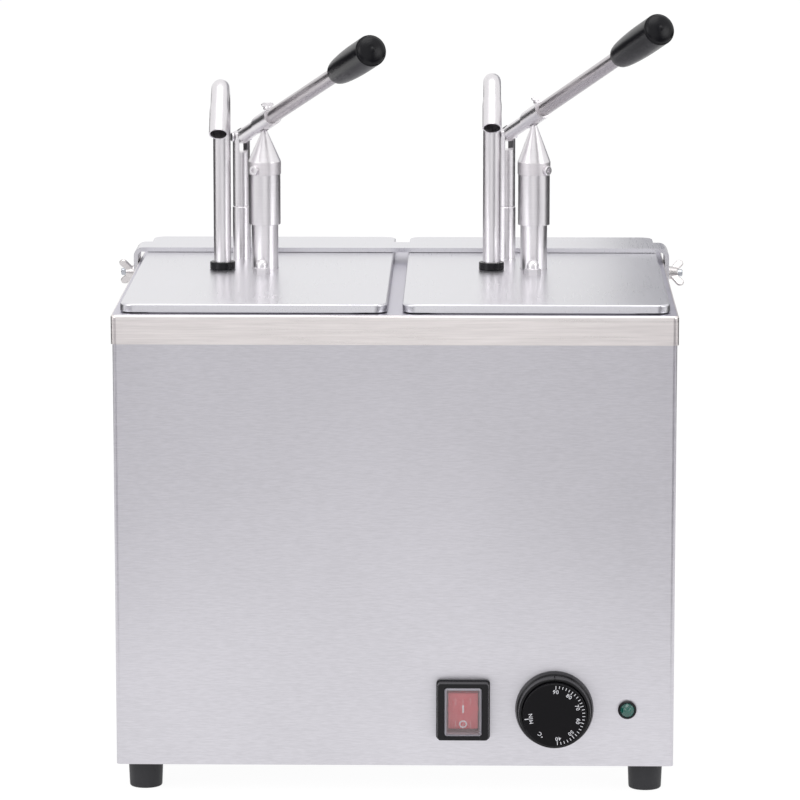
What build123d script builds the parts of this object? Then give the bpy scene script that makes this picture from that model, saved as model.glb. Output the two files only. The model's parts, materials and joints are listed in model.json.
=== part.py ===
from build123d import *
import os
from math import asin, cos, radians, sin, tan

# Two-pan water-bath topping warmer with two lever pumps.
# Millimetres. +Z up, front towards -Y, origin on the worktop at the centre of the cabinet's footprint.

# ---- Cabinet ----
CASE_W = 369.0          # casing, side to side
CASE_D = 343.0          # casing, front to back
CASE_H = 301.5          # underside of the casing to the top of the rim
SHEET = 1.0             # stainless sheet of casing, deck, tank and panels
CASE_CORNER_R = 3.0     # outer radius of the casing's two front bends
RIM_H = 19.5            # height of the deck's turned-down band
RIM_CORNER_R = 4.0
RIM_FOLD_R = 2.0        # outer radius of the fold along the top of the band
SIDE_FLANGE = 12.0      # inward flange along the back edges of the casing
PANEL_FLANGE = 12.0     # upturned flange of the base plate

FOOT_H = 19.5
FOOT_TOP_D = 23.2
FOOT_TIP_D = 21.6
FOOT_INSET_X = 18.0     # casing side to foot centre
FOOT_INSET_Y = 22.0
FOOT_RECESS_D = 11.0
FOOT_WEB = 6.0          # rubber left between the screw head and the base plate

# ---- Pans and lids ----
PAN_PITCH = 185.0       # between the centres of the two pans
LID_W = 175.0
LID_D = 332.0
LID_SHEET = 1.0
LID_SKIRT = 5.4         # lid top to the lower edge of its skirt
LID_CORNER_R = 9.0
LID_FOLD_R = 1.4
SEAT_GAP = 0.3          # air left where a loose piece rests on another
LID_FIT = 0.8           # side air between the lid's skirt and the pan's flange
PAN_SHEET = 0.9
PAN_LIP = 4.7           # height of the pan flange's turned-down edge
PAN_FLANGE = 6.7        # width of the pan's flat flange
PAN_DEPTH = 150.0
PAN_TAPER = 3.5         # how far each wall leans in from the top to the bottom
PAN_CORNER_R = 22.0
PAN_FLOOR_R = 12.0
OPENING_FIT = 1.0       # air round a pan in its deck opening
COLLAR_H = 8.0          # turned-down edge of each deck opening

TANK_DEPTH = 210.0
TANK_FIT = 1.0          # air between the deck's collars and the tank wall
TANK_CORNER_R = 20.0
TANK_FLANGE = 6.0

ELEMENT_D = 8.0
ELEMENT_RISE = 16.0     # centre of the heating element above the tank floor
ELEMENT_BEND_R = 26.0
ELEMENT_MARGIN = 50.0   # tank wall to the element's centre line
ELEMENT_LEGS = 44.0     # between the element's two terminals

# ---- Controls ----
CONTROL_RISE = 38.5     # casing underside to the line of the controls
SWITCH_X = 45.3
KNOB_X = 105.6
LAMP_X = 153.7
SWITCH_BASE_W = 35.4
SWITCH_BASE_H = 40.3
SWITCH_FACE_W = 33.2
SWITCH_FACE_H = 38.1
SWITCH_PROUD = 10.0
SWITCH_WINDOW_W = 25.0
SWITCH_WINDOW_H = 33.0
SWITCH_BODY_W = 23.4
SWITCH_BODY_H = 29.5
SWITCH_BODY_D = 28.0
ROCKER_W = 19.6
ROCKER_H = 26.4
ROCKER_TILT = 9.0       # half of the rocker's throw
ROCKER_FACE = 3.2       # rocker's nearest point in front of the casing
COVER_WALL = 1.0
BEZEL_D = 51.8          # dial bezel where it meets the casing
BEZEL_STEP_D = 49.2     # its second tier
BEZEL_STEP_Z = 5.0
BEZEL_FACE_D = 47.0
BEZEL_H = 12.7
BEZEL_WEB = 1.6
BEZEL_MARK_W = 0.6
KNOB_D = 42.4
KNOB_FACE = 18.0        # casing to the knob's face
KNOB_BACK = 5.0         # casing to the back of the knob
KNOB_FIT = 0.35
SPINDLE_D = 6.0
BUSH_D = 10.0
THERMOSTAT_W = 36.0
THERMOSTAT_H = 42.0
THERMOSTAT_D = 26.0
BULB_D = 7.0
BULB_L = 90.0
CAPILLARY_D = 2.4
LAMP_D = 12.2
LAMP_PROUD = 2.6
LENS_D = 9.4
LENS_PROUD = 3.4
LAMP_BODY_D = 9.8
LAMP_BODY_L = 30.0
GLAND_X = -130.0
GLAND_RISE = 34.0
GLAND_BORE = 8.0
GLAND_THREAD_D = 15.6
GLAND_HEX = 22.0

# ---- Hold-down bar ----
BAR_W = 31.0
BAR_T = 3.0
BAR_Y = 97.0            # centre of the bar behind the cabinet's centre
BAR_BEND_R = 3.2        # inner radius of its two bends
BAR_SIDE_GAP = 0.5      # leg to rim
STUD_D = 5.0
STUD_DROP = 9.8         # rim top to stud centre
STUD_TIP = 13.6         # rim to stud end
LEG_BELOW_STUD = 6.0
WING_HUB_D = 9.6
WING_HUB_L = 6.5
WING_SPAN = 24.0
WING_REACH = 10.6       # hub's back to the wing tips
WING_T = 2.2
WING_TURNS = (50.0, 38.0)   # how each nut happens to stand, left and right

# ---- Pumps, measured from the lid top on the pump's own axis ----
PUMP_OD = 18.4
PUMP_WALL = 1.5
PUMP_TOP = 39.5
PUMP_BOTTOM = -122.0
GUIDE_TOP = 6.0
GUIDE_H = 10.0
SLIDE_FIT = 0.2
ROD_FIT = 0.1
SLEEVE_WALL = 1.5
SLEEVE_BOTTOM = 30.5
SLEEVE_TOP = 65.3
SPIGOT_WALL = 0.8
SPIGOT_H = 5.4
COLLAR_STEP = 0.4       # collar proud of the sleeve
COLLAR_TOP = 73.9
CONE_TIP_D = 3.4
CONE_GAP = 0.5          # cone tip to the bottom of the lever's slot
PISTON_ROD_D = 6.0
PISTON_HEAD_Z = -64.0
PISTON_HEAD_L = 12.0
SEAL_GROOVE = 1.2
SPRING_WIRE = 1.3
SPRING_MEAN_D = 12.0
SPRING_TURNS = 7
COLLAR_SCREW_HEAD = 6.6
COLLAR_SCREW_DROP = 1.0         # screw centre below the collar's middle
COLLAR_SCREW_ANGLES = (-34.0, 49.0)     # each screw's bearing from straight ahead

SPOUT_AT = (-29.0, -4.5)
SPOUT_OD = 12.0
SPOUT_WALL = 0.9
SPOUT_TOPS = (125.9, 130.3)     # centre line at the top of the left and the right arch
SPOUT_ARCH_R = 12.0
SPOUT_DROOP = 52.0      # outlet's angle below level
SPOUT_LEG = 30.5        # straight length from the arch to the outlet
FLARE_STEP = 0.5        # outlet's radius over the tube's
FLARE_L = 24.0
FLARE_BLEND = 5.0
BUSHING_WALL = 2.65
BUSHING_H = 5.1

POST_AT = (-18.5, 50.0)
POST_OD = 12.6
FORK_OD = 12.0
FORK_STEP = 37.0
SLOT_W = 6.0
PIVOT_HEIGHTS = (85.1, 87.0)    # left and right
SLOT_BELOW_PIVOT = 10.4
FORK_ABOVE_PIVOT = 4.2
PIN_D = 4.0
PIN_HEAD_D = 6.4
PIN_HEAD_T = 1.2

STUD_AT = (-0.9, -30.5)
NUT_HEX = 10.0
NUT_HEX_H = 4.4
NUT_DOME_D = 8.2
NUT_H = 10.3
PLATE_T = 2.5
PLATE_MARGIN = 6.0      # mounting plate round the holes it carries

VALVE_WALL = 3.8
VALVE_H = 30.0
VALVE_BOSS_WALL = 3.5
TUBE_SOCKET = 14.0
BALL_D = 9.5
INLET_D = 7.0

# ---- Levers, measured along the lever from its pivot ----
LEVER_RISES = (16.9, 19.3)      # rest elevation of the left and the right lever
TONGUE_T = 5.4
TONGUE_H = 9.4
SHANK_START = 7.2
SHANK_D = 9.8
SOCKET_START = 44.0
SOCKET_END = 76.0
SOCKET_OD = 12.6
SOCKET_BORE_START = 60.5
TIP_SLOT = (50.2, 59.6)         # slot under the socket that the cone's tip works in
TIP_SLOT_W = 5.0
TIP_SLOT_DEEP = 1.4
LEVER_ROD_D = 10.0
GRIP_START = 222.0
GRIP_END = 296.0
GRIP_END_D = 20.6
GRIP_NECK_D = 14.4
GRIP_BORE = 20.0
THUMB_AT = 66.0
PRESS_FIT = 0.02


# ---- Fasteners, vents and small features ----
SCREW_D = 4.0
SCREW_HEAD_D = 7.6
SCREW_HEAD_H = 2.6
SCREW_L = 7.0
SCREW_INSET = 1.0       # panel screws stand this much inboard of the flange's middle
SCREW_END = 22.0        # panel ends to the first and last screw
VENT_L = 60.0
VENT_W = 4.5
VENT_X = 85.0
VENT_SHIFT = 25.0
VENT_ROWS = 5
VENT_FIRST = 26.0
VENT_PITCH = 11.0
BASE_VENT_PITCH = 32.0
FOOT_SCREW_D = 5.0
FOOT_HEAD_D = 9.0
FOOT_HEAD_H = 3.4
FOOT_NUT_HEX = 8.0
FOOT_NUT_H = 4.0
FOOT_EDGE_R = 1.6
TANK_FLOOR_R = 10.0
ELEMENT_TAIL = 20.0     # element ends below the tank floor
SPINDLE_IN = 12.0       # depth of the spindle's bearing in the thermostat
SPINDLE_FLAT = 1.4
BUSH_PROUD = 4.5
BUSH_NUT_HEX = 14.0
BUSH_NUT_H = 2.4
KNOB_BORE = 9.0
KNOB_WALL = 2.2
KNOB_EDGE = 0.8
KNOB_BOSS_D = 12.0
BULB_BEHIND = 30.0      # bulb behind the element's front run
BULB_LEAD = 22.0
CAPILLARY_BEND_R = 9.0
SWITCH_LIP = 3.0
SWITCH_FLOOR = 2.0
SWITCH_CAVITY = 12.0
ROCKER_SWING = 1.8      # room above and below the rocker in its slot
ROCKER_PEG = 1.0
ROCKER_PEG_D = 3.0
ROCKER_VALLEY = 0.9
COVER_PROUD = 0.8
POST_SPIGOT_D = 7.0
PLATE_STUD_D = 5.0
NUT_CROWN = 2.2         # metal left over the stud in the cap nut
BUSHING_NECK_WALL = 1.2
COLLAR_SCREW_D = 3.0
COLLAR_SCREW_H = 2.0
COLLAR_SCREW_SEAT = 0.3
THUMB_D = 4.0
THUMB_W = 8.4
THUMB_H = 4.6
GRIP_DOME = 5.0
GRIP_SWELL = 48.0       # start of the grip to its full thickness
PUMP_Y = 4.0            # pump axis behind the lid's centre
ROD_TOP = 82.0          # piston rod's end inside the cone

# ---- Derived places ----
FLOOR = FOOT_H
RIM_TOP = FLOOR + CASE_H
RIM_W = CASE_W + 2 * SHEET
RIM_D = CASE_D + 2 * SHEET
CASE_TOP = RIM_TOP - SHEET
CONTROL_Z = FLOOR + CONTROL_RISE
FRONT = -CASE_D / 2
FRONT_IN = FRONT + SHEET
LID_TOP = RIM_TOP + SEAT_GAP + PAN_LIP + SEAT_GAP + LID_SHEET
PAN_TOP = RIM_TOP + SEAT_GAP + PAN_LIP
PAN_OUT_W = LID_W - 2 * (LID_SHEET + LID_FIT)
PAN_OUT_D = LID_D - 2 * (LID_SHEET + LID_FIT)
PAN_BODY_W = PAN_OUT_W - 2 * PAN_FLANGE
PAN_BODY_D = PAN_OUT_D - 2 * PAN_FLANGE
OPENING_W = PAN_BODY_W + 2 * OPENING_FIT
OPENING_D = PAN_BODY_D + 2 * OPENING_FIT
TANK_W = PAN_PITCH + OPENING_W + 2 * (SHEET + TANK_FIT + SHEET)
TANK_D = OPENING_D + 2 * (SHEET + TANK_FIT + SHEET)
TANK_TOP = RIM_TOP - SHEET
TANK_FLOOR = TANK_TOP - TANK_DEPTH
BAR_UNDER = LID_TOP + SEAT_GAP
LEG_IN = RIM_W / 2 + BAR_SIDE_GAP
LEG_OUT = LEG_IN + BAR_T
STUD_Z = RIM_TOP - STUD_DROP
PUMP_ID = PUMP_OD - 2 * PUMP_WALL
OPENING_CORNER_R = PAN_CORNER_R + OPENING_FIT
GLAND_Z = FLOOR + GLAND_RISE
ELEMENT_FRONT = -TANK_D / 2 + ELEMENT_MARGIN
PISTON_HEAD_D = PUMP_ID - 2 * ROD_FIT
SLEEVE_OD = PUMP_OD + 2 * (SLIDE_FIT + SLEEVE_WALL)
SPIGOT_OD = PUMP_OD + 2 * (SLIDE_FIT + SPIGOT_WALL)
COLLAR_OD = SLEEVE_OD + 2 * COLLAR_STEP
VALVE_D = PUMP_OD + 2 * VALVE_WALL
VALVE_BOSS_D = SPOUT_OD + 2 * VALVE_BOSS_WALL
BUSHING_D = SPOUT_OD + 2 * BUSHING_WALL
BUSHING_NECK_D = SPOUT_OD + 2 * BUSHING_NECK_WALL
FLARE_OD = SPOUT_OD + 2 * FLARE_STEP
COLLAR_BORE_TOP = SLEEVE_TOP + SPIGOT_H + PRESS_FIT

SIDES = ("left", "right")
LEVER_RUN = Vector(POST_AT[0], POST_AT[1], 0).length
LEVER_BEARING = Vector(0, 1, 0).get_angle(Vector(POST_AT[0], POST_AT[1], 0))


# ---- Small makers ----
def block(x0, x1, y0, y1, z0, z1):
    """Box between two corners."""
    return Pos((x0 + x1) / 2, (y0 + y1) / 2, (z0 + z1) / 2) * Box(x1 - x0, y1 - y0, z1 - z0)


def disc(d, z0, z1):
    """Upright cylinder on the local axis."""
    return Pos(0, 0, z0) * extrude(Circle(d / 2), z1 - z0)


def slab(w, d, z0, z1, r):
    """Upright plate with rounded corners in plan."""
    return Pos(0, 0, z0) * extrude(RectangleRounded(w, d, r), z1 - z0)


def hexagon(across_flats, z0, z1):
    """Upright hexagonal prism."""
    return Pos(0, 0, z0) * extrude(RegularPolygon(across_flats / 2, 6, major_radius=False), z1 - z0)


def turned(*points):
    """Solid turned about the local Z axis from (radius, height) points."""
    outline = Polyline([(r, 0, z) for r, z in points], close=True)
    return revolve(make_face(outline), Axis.Z)


def on_front(shape, x):
    """Stand a shape on the casing's front, local Z pointing out of it and local Y up."""
    return Pos(x, FRONT, CONTROL_Z) * Rot(90, 0, 0) * shape


def outward(shape, x, y, z):
    """Lay a shape's local Z along X, away from the cabinet's middle."""
    return Pos(x, y, z) * Rot(0, 90 if x > 0 else -90, 0) * shape


def top_edges(part):
    return part.edges().group_by(Axis.Z)[-1]


def bottom_edges(part):
    return part.edges().group_by(Axis.Z)[0]


# ---- Cabinet ----
def outer_casing():
    """Front and sides bent from one sheet, with flanges turned in along the back."""
    depth = CASE_D - SHEET
    shift = Pos(0, -SHEET / 2, 0)
    shell = shift * slab(CASE_W, depth, FLOOR, CASE_TOP, CASE_CORNER_R)
    inner_r = CASE_CORNER_R - SHEET
    shell -= shift * slab(CASE_W - 2 * SHEET, depth - 2 * SHEET, FLOOR, CASE_TOP, inner_r)
    half = CASE_W / 2 - SIDE_FLANGE
    shell -= block(-half, half, CASE_D / 2 - 3 * SHEET, CASE_D / 2, FLOOR, CASE_TOP)
    switch_w, switch_h = SWITCH_BODY_W + 2 * SLIDE_FIT, SWITCH_BODY_H + 2 * SLIDE_FIT
    for hole, x in (
        (slab(switch_w, switch_h, -2 * SHEET, SHEET, 1.0), SWITCH_X),
        (disc(BUSH_D + 2 * SLIDE_FIT, -2 * SHEET, SHEET), KNOB_X),
        (disc(LAMP_BODY_D + 2 * SLIDE_FIT, -2 * SHEET, SHEET), LAMP_X),
    ):
        shell -= on_front(hole, x)
    shell -= stud_holes()
    for x, z in panel_screw_places():
        shell -= Pos(x, CASE_D / 2 - 3 * SHEET, z) * Rot(-90, 0, 0) * disc(SCREW_D, 0, 3 * SHEET)
    return shell


def stud_holes():
    """Holes through the casing and the rim for the two bar studs."""
    d = STUD_D + 2 * SLIDE_FIT
    reach = 2 * (SHEET + SHEET)
    holes = [outward(disc(d, -reach, reach), s * CASE_W / 2, BAR_Y, STUD_Z) for s in (-1, 1)]
    return holes[0] + holes[1]


def panel_screw_places():
    x = CASE_W / 2 - SIDE_FLANGE / 2 - SCREW_INSET
    low, high = FLOOR + SCREW_END, CASE_TOP - RIM_H - SCREW_END
    return [(s * x, z) for s in (-1, 1) for z in (low, (low + high) / 2, high)]


def back_panel():
    """Flat sheet over the back opening, with two banks of vent slots and the gland hole."""
    half = CASE_W / 2 - CASE_CORNER_R
    panel = block(-half, half, CASE_D / 2 - SHEET, CASE_D / 2, FLOOR, CASE_TOP)
    slot = Rot(-90, 0, 0) * Pos(0, 0, -2 * SHEET) * extrude(SlotOverall(VENT_L, VENT_W), 4 * SHEET)
    for bank in (-1, 1):
        for row in range(VENT_ROWS):
            z = FLOOR + VENT_FIRST + row * VENT_PITCH
            panel -= Pos(bank * VENT_X + VENT_SHIFT, CASE_D / 2, z) * slot
    for x, z in panel_screw_places():
        panel -= Pos(x, CASE_D / 2 - 2 * SHEET, z) * Rot(-90, 0, 0) * disc(SCREW_D, 0, 3 * SHEET)
    panel -= Pos(GLAND_X, CASE_D / 2, GLAND_Z) * Rot(-90, 0, 0) * disc(GLAND_THREAD_D, -4, 4)
    return panel


def foot_places():
    x = CASE_W / 2 - FOOT_INSET_X
    y = CASE_D / 2 - FOOT_INSET_Y
    return [(sx * x, sy * y) for sx in (-1, 1) for sy in (-1, 1)]


def base_plate():
    """Shallow tray that closes the underside, slotted for air under the water tank."""
    y0, y1 = FRONT_IN, CASE_D / 2 - 2 * SHEET
    w, d = CASE_W - 2 * SHEET, y1 - y0
    r = CASE_CORNER_R - SHEET
    at = Pos(0, (y0 + y1) / 2, 0)
    tray = at * slab(w, d, FLOOR, FLOOR + PANEL_FLANGE, r)
    tray -= at * slab(w - 2 * SHEET, d - 2 * SHEET, FLOOR + SHEET, FLOOR + PANEL_FLANGE, r / 2)
    slot = Pos(0, 0, FLOOR - SHEET) * extrude(SlotOverall(VENT_L, VENT_W), 3 * SHEET)
    for bank in (-1, 0, 1):
        for row in range(-VENT_ROWS // 2, VENT_ROWS // 2 + 1):
            tray -= Pos(bank * VENT_X, row * BASE_VENT_PITCH, 0) * slot
    for x, y in foot_places():
        tray -= Pos(x, y, 0) * disc(FOOT_SCREW_D, FLOOR - SHEET, FLOOR + 2 * SHEET)
    return tray


def feet():
    """Four tapered rubber feet, recessed from below for their screws."""
    foot = loft([Pos(0, 0, 0) * Circle(FOOT_TIP_D / 2), Pos(0, 0, FOOT_H) * Circle(FOOT_TOP_D / 2)])
    foot = fillet(bottom_edges(foot), FOOT_EDGE_R)
    foot -= disc(FOOT_RECESS_D, 0, FOOT_H - FOOT_WEB)
    foot -= disc(FOOT_SCREW_D + 2 * ROD_FIT, 0, FOOT_H)
    return Compound([Pos(x, y, 0) * foot for x, y in foot_places()])


def cabinet_screws():
    """Pan-head screws of the back panel, and a cheese-head screw with its nut for each foot."""
    head = fillet(top_edges(disc(SCREW_HEAD_D, 0, SCREW_HEAD_H)), SCREW_HEAD_H / 3)
    panel_screw = head + disc(SCREW_D, -SCREW_L, 0)
    panel_screw -= Pos(0, 0, SCREW_HEAD_H - 1) * (Box(4, 0.9, 2.4) + Box(0.9, 4, 2.4))
    seat = FOOT_H - FOOT_WEB
    stem_top = FLOOR + SHEET + FOOT_NUT_H + 1
    screw = disc(FOOT_HEAD_D, seat - FOOT_HEAD_H, seat) + disc(FOOT_SCREW_D, seat, stem_top)
    screw -= Pos(0, 0, seat - FOOT_HEAD_H) * Box(FOOT_HEAD_D, 1.2, 2)
    nut = hexagon(FOOT_NUT_HEX, FLOOR + SHEET, FLOOR + SHEET + FOOT_NUT_H)
    nut -= disc(FOOT_SCREW_D, FLOOR, FLOOR + FOOT_NUT_H * 2)
    screws = [Pos(x, CASE_D / 2, z) * Rot(-90, 0, 0) * panel_screw for x, z in panel_screw_places()]
    screws += [Pos(x, y, 0) * part for x, y in foot_places() for part in (screw, nut)]
    return Compound(screws)


def top_deck():
    """Pressed deck: a folded rim band outside the casing and two collared pan openings."""
    deck = slab(RIM_W, RIM_D, RIM_TOP - RIM_H, RIM_TOP, RIM_CORNER_R)
    deck = fillet(top_edges(deck), RIM_FOLD_R)
    deck -= slab(CASE_W, CASE_D, RIM_TOP - RIM_H, CASE_TOP, CASE_CORNER_R)
    for s in (-1, 1):
        at = Pos(s * PAN_PITCH / 2, 0, 0)
        w, d, r = OPENING_W + 2 * SHEET, OPENING_D + 2 * SHEET, OPENING_CORNER_R
        deck += at * slab(w, d, RIM_TOP - COLLAR_H, CASE_TOP, r + SHEET)
        deck -= at * slab(OPENING_W, OPENING_D, RIM_TOP - COLLAR_H, RIM_TOP, r)
    return deck - stud_holes()


def water_tank():
    """Deep-drawn tank that holds the hot water round both pans, welded under the deck."""
    tank = slab(TANK_W, TANK_D, TANK_FLOOR, TANK_TOP, TANK_CORNER_R)
    tank = fillet(bottom_edges(tank), TANK_FLOOR_R)
    flange_w, flange_d = TANK_W + 2 * TANK_FLANGE, TANK_D + 2 * TANK_FLANGE
    tank += slab(flange_w, flange_d, TANK_TOP - SHEET, TANK_TOP, TANK_CORNER_R)
    inner_r = TANK_CORNER_R - SHEET
    inside = slab(TANK_W - 2 * SHEET, TANK_D - 2 * SHEET, TANK_FLOOR + SHEET, TANK_TOP, inner_r)
    tank -= fillet(bottom_edges(inside), TANK_FLOOR_R - SHEET)
    for s in (-1, 1):
        leg = disc(ELEMENT_D + 2 * ROD_FIT, TANK_FLOOR - SHEET, TANK_FLOOR + 2 * SHEET)
        tank -= Pos(s * ELEMENT_LEGS / 2, ELEMENT_FRONT, 0) * leg
    return tank


def heating_element():
    """Sheathed tube round the tank floor, its two cold ends nutted through the floor."""
    z, side = TANK_FLOOR + ELEMENT_RISE, TANK_W / 2 - ELEMENT_MARGIN
    low, leg = TANK_FLOOR - ELEMENT_TAIL, ELEMENT_LEGS / 2
    route = [(-leg, ELEMENT_FRONT, low), (-leg, ELEMENT_FRONT, z), (-side, ELEMENT_FRONT, z)]
    route += [(-side, -ELEMENT_FRONT, z), (side, -ELEMENT_FRONT, z)]
    route += [(side, ELEMENT_FRONT, z), (leg, ELEMENT_FRONT, z), (leg, ELEMENT_FRONT, low)]
    bend = ELEMENT_BEND_R
    path = FilletPolyline(*route, radius=[ELEMENT_RISE * 0.75, bend, bend, bend, bend, ELEMENT_RISE * 0.75])
    element = sweep(Plane(path @ 0, z_dir=path % 0) * Circle(ELEMENT_D / 2), path=path)
    for s in (-1, 1):
        at = Pos(s * leg, ELEMENT_FRONT, 0)
        flange = disc(2 * ELEMENT_D, TANK_FLOOR + SHEET, TANK_FLOOR + 3 * SHEET)
        nut = hexagon(2 * ELEMENT_D, TANK_FLOOR - 5 * SHEET, TANK_FLOOR)
        blade = block(-3.15, 3.15, -0.4, 0.4, low - 9, low)
        element += at * (flange + nut + blade)
    return element


# ---- Controls ----
def thermostat_body():
    """Capillary thermostat behind the knob, its bulb lying under the tank floor."""
    case = slab(THERMOSTAT_W, THERMOSTAT_H, -THERMOSTAT_D - 3 * SHEET, -3 * SHEET, 2.0)
    bracket = slab(THERMOSTAT_W + 12, THERMOSTAT_H / 2, -3 * SHEET, -SHEET, 3.0)
    bush = disc(BUSH_D, -3 * SHEET, BUSH_PROUD)
    body = case + bracket + bush
    body -= disc(SPINDLE_D + 2 * ROD_FIT, -3 * SHEET - SPINDLE_IN, BUSH_PROUD)
    for x in (-9, 9):
        body += block(x - 3.15, x + 3.15, -8.4, -7.6, -THERMOSTAT_D - 12 * SHEET, -THERMOSTAT_D)
    body = on_front(body, KNOB_X)
    back = FRONT + THERMOSTAT_D + 2 * SHEET
    bulb_z = TANK_FLOOR - BULB_D / 2 - ROD_FIT
    exit_z = CONTROL_Z + THERMOSTAT_H / 4
    y = ELEMENT_FRONT + BULB_BEHIND
    start = (KNOB_X, back, exit_z)
    route = [start, (KNOB_X, y, exit_z), (KNOB_X, y, bulb_z), (KNOB_X - BULB_LEAD - 4, y, bulb_z)]
    path = FilletPolyline(*route, radius=CAPILLARY_BEND_R)
    body += sweep(Plane(path @ 0, z_dir=path % 0) * Circle(CAPILLARY_D / 2), path=path)
    bulb = fillet(disc(BULB_D, 0, BULB_L).edges(), BULB_D / 4)
    body += Pos(KNOB_X - BULB_LEAD, y, bulb_z) * Rot(0, -90, 0) * bulb
    nut = hexagon(BUSH_NUT_HEX, BEZEL_WEB, BEZEL_WEB + BUSH_NUT_H) - disc(BUSH_D, 0, BUSH_PROUD)
    return Compound([body, on_front(nut, KNOB_X)])


def thermostat_spindle():
    """Turned spindle with a flat, running from the thermostat into the knob."""
    end = KNOB_BACK + KNOB_BORE
    spindle = disc(SPINDLE_D, -3 * SHEET - SPINDLE_IN + 1, end)
    spindle -= block(-5, 5, SPINDLE_D / 2 - SPINDLE_FLAT, 5, KNOB_BACK + 1, end)
    return on_front(spindle, KNOB_X)


def dial_bezel():
    """Fixed two-tier ring round the dial, clamped by the thermostat's nut, with a pointer groove on top."""
    base_r, step_r, face_r = BEZEL_D / 2, BEZEL_STEP_D / 2, BEZEL_FACE_D / 2
    bore_r = KNOB_D / 2 + KNOB_FIT
    ring = turned(
        (BUSH_D / 2 + SLIDE_FIT, 0), (base_r, 0), (base_r, 1.0), (step_r + 0.4, BEZEL_STEP_Z),
        (step_r - 0.4, BEZEL_STEP_Z + 0.5), (face_r, BEZEL_H - 0.5), (face_r - 0.5, BEZEL_H),
        (bore_r + 0.4, BEZEL_H), (bore_r, BEZEL_H - 0.4), (bore_r, BEZEL_WEB),
        (BUSH_D / 2 + SLIDE_FIT, BEZEL_WEB),
    )
    half = BEZEL_MARK_W / 2
    ring -= block(-half, half, bore_r - 1, base_r, BEZEL_H - BEZEL_MARK_W, BEZEL_H + 1)
    ring -= block(-half, half, face_r - half, base_r, BEZEL_STEP_Z + 2, BEZEL_H + 1)
    return on_front(ring, KNOB_X)


def thermostat_knob():
    """Moulded dial knob, hollow behind round its spindle boss."""
    r, hollow_r = KNOB_D / 2, KNOB_D / 2 - KNOB_WALL
    roof = KNOB_FACE - KNOB_WALL
    knob = turned(
        (0, KNOB_BACK), (r, KNOB_BACK), (r, KNOB_FACE - KNOB_EDGE), (r - KNOB_EDGE, KNOB_FACE),
        (0, KNOB_FACE),
    )
    knob -= disc(2 * hollow_r, KNOB_BACK, roof) - disc(KNOB_BOSS_D, KNOB_BACK, roof)
    flat = SPINDLE_D / 2 - SPINDLE_FLAT + PRESS_FIT
    bore_end = KNOB_BACK + KNOB_BORE + ROD_FIT
    bore = disc(SPINDLE_D + 2 * PRESS_FIT, KNOB_BACK, bore_end)
    knob -= bore - block(-SPINDLE_D, SPINDLE_D, flat, SPINDLE_D, KNOB_BACK + 2, bore_end)
    for turn in range(4):
        web = block(-0.8, 0.8, KNOB_BOSS_D / 2 - 0.5, hollow_r + 0.5, KNOB_BACK + 4, roof + 0.5)
        knob += Rot(0, 0, 45 + 90 * turn) * web
    return on_front(knob, KNOB_X)


def switch_housing():
    """Moulded bezel and body of the rocker switch, with its four terminal blades."""
    base = slab(SWITCH_BASE_W, SWITCH_BASE_H, 0, SWITCH_LIP, 2.5)
    lean = (SWITCH_BASE_W - SWITCH_FACE_W) / 2
    cone = loft([
        Pos(0, 0, SWITCH_LIP) * RectangleRounded(SWITCH_BASE_W - lean, SWITCH_BASE_H - lean, 2.2),
        Pos(0, 0, SWITCH_PROUD) * RectangleRounded(SWITCH_FACE_W, SWITCH_FACE_H, 1.8),
    ])
    body = slab(SWITCH_BODY_W, SWITCH_BODY_H, -SWITCH_BODY_D, 0, 1.0)
    housing = base + cone + body
    housing -= slab(SWITCH_WINDOW_W, SWITCH_WINDOW_H, SWITCH_FLOOR, SWITCH_PROUD, 2.0)
    slot_w, slot_h = ROCKER_W + 4 * SLIDE_FIT, ROCKER_H + ROCKER_SWING
    housing -= block(-slot_w / 2, slot_w / 2, -slot_h / 2, slot_h / 2, -SWITCH_CAVITY, SWITCH_PROUD)
    trunnion = ROCKER_W / 2 + ROCKER_PEG + SLIDE_FIT
    housing -= Rot(0, 90, 0) * disc(ROCKER_PEG_D + 2 * ROD_FIT, -trunnion, trunnion)
    for x in (-6, 6):
        for y in (-8, 8):
            back = SWITCH_BODY_D
            housing += block(x - 2.4, x + 2.4, y - 0.4, y + 0.4, -back - 9, -back)
    return on_front(housing, SWITCH_X)


def switch_rocker():
    """Rocker with a shallow valley across its face, its lower half pressed in."""
    h, face = ROCKER_H / 2, ROCKER_FACE
    outline = Polyline([
        (0, -h, -2.2), (0, -h, face), (0, -h + 0.8, face + 0.4), (0, 0, face - ROCKER_VALLEY),
        (0, h - 0.8, face + 0.4), (0, h, face), (0, h, -2.2), (0, 3.4, -5.4), (0, -3.4, -5.4),
    ], close=True)
    rocker = Pos(-ROCKER_W / 2, 0, 0) * extrude(make_face(outline), ROCKER_W, dir=(1, 0, 0))
    reach = ROCKER_W / 2 + ROCKER_PEG
    rocker += Rot(0, 90, 0) * disc(ROCKER_PEG_D, -reach, reach)
    return on_front(Rot(ROCKER_TILT, 0, 0) * rocker, SWITCH_X)


def switch_cover():
    """Clear domed cap over the rocker, clipped into the bezel's window."""
    w, h = SWITCH_WINDOW_W - 2 * SLIDE_FIT, SWITCH_WINDOW_H - 2 * SLIDE_FIT
    top = SWITCH_PROUD + COVER_PROUD
    cover = slab(w, h, SWITCH_FLOOR, top, 2.0)
    cover = fillet(top_edges(cover), 1.6)
    inner = slab(w - 2 * COVER_WALL, h - 2 * COVER_WALL, SWITCH_FLOOR, top - COVER_WALL, 1.2)
    return on_front(cover - fillet(top_edges(inner), 0.9), SWITCH_X)


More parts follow.
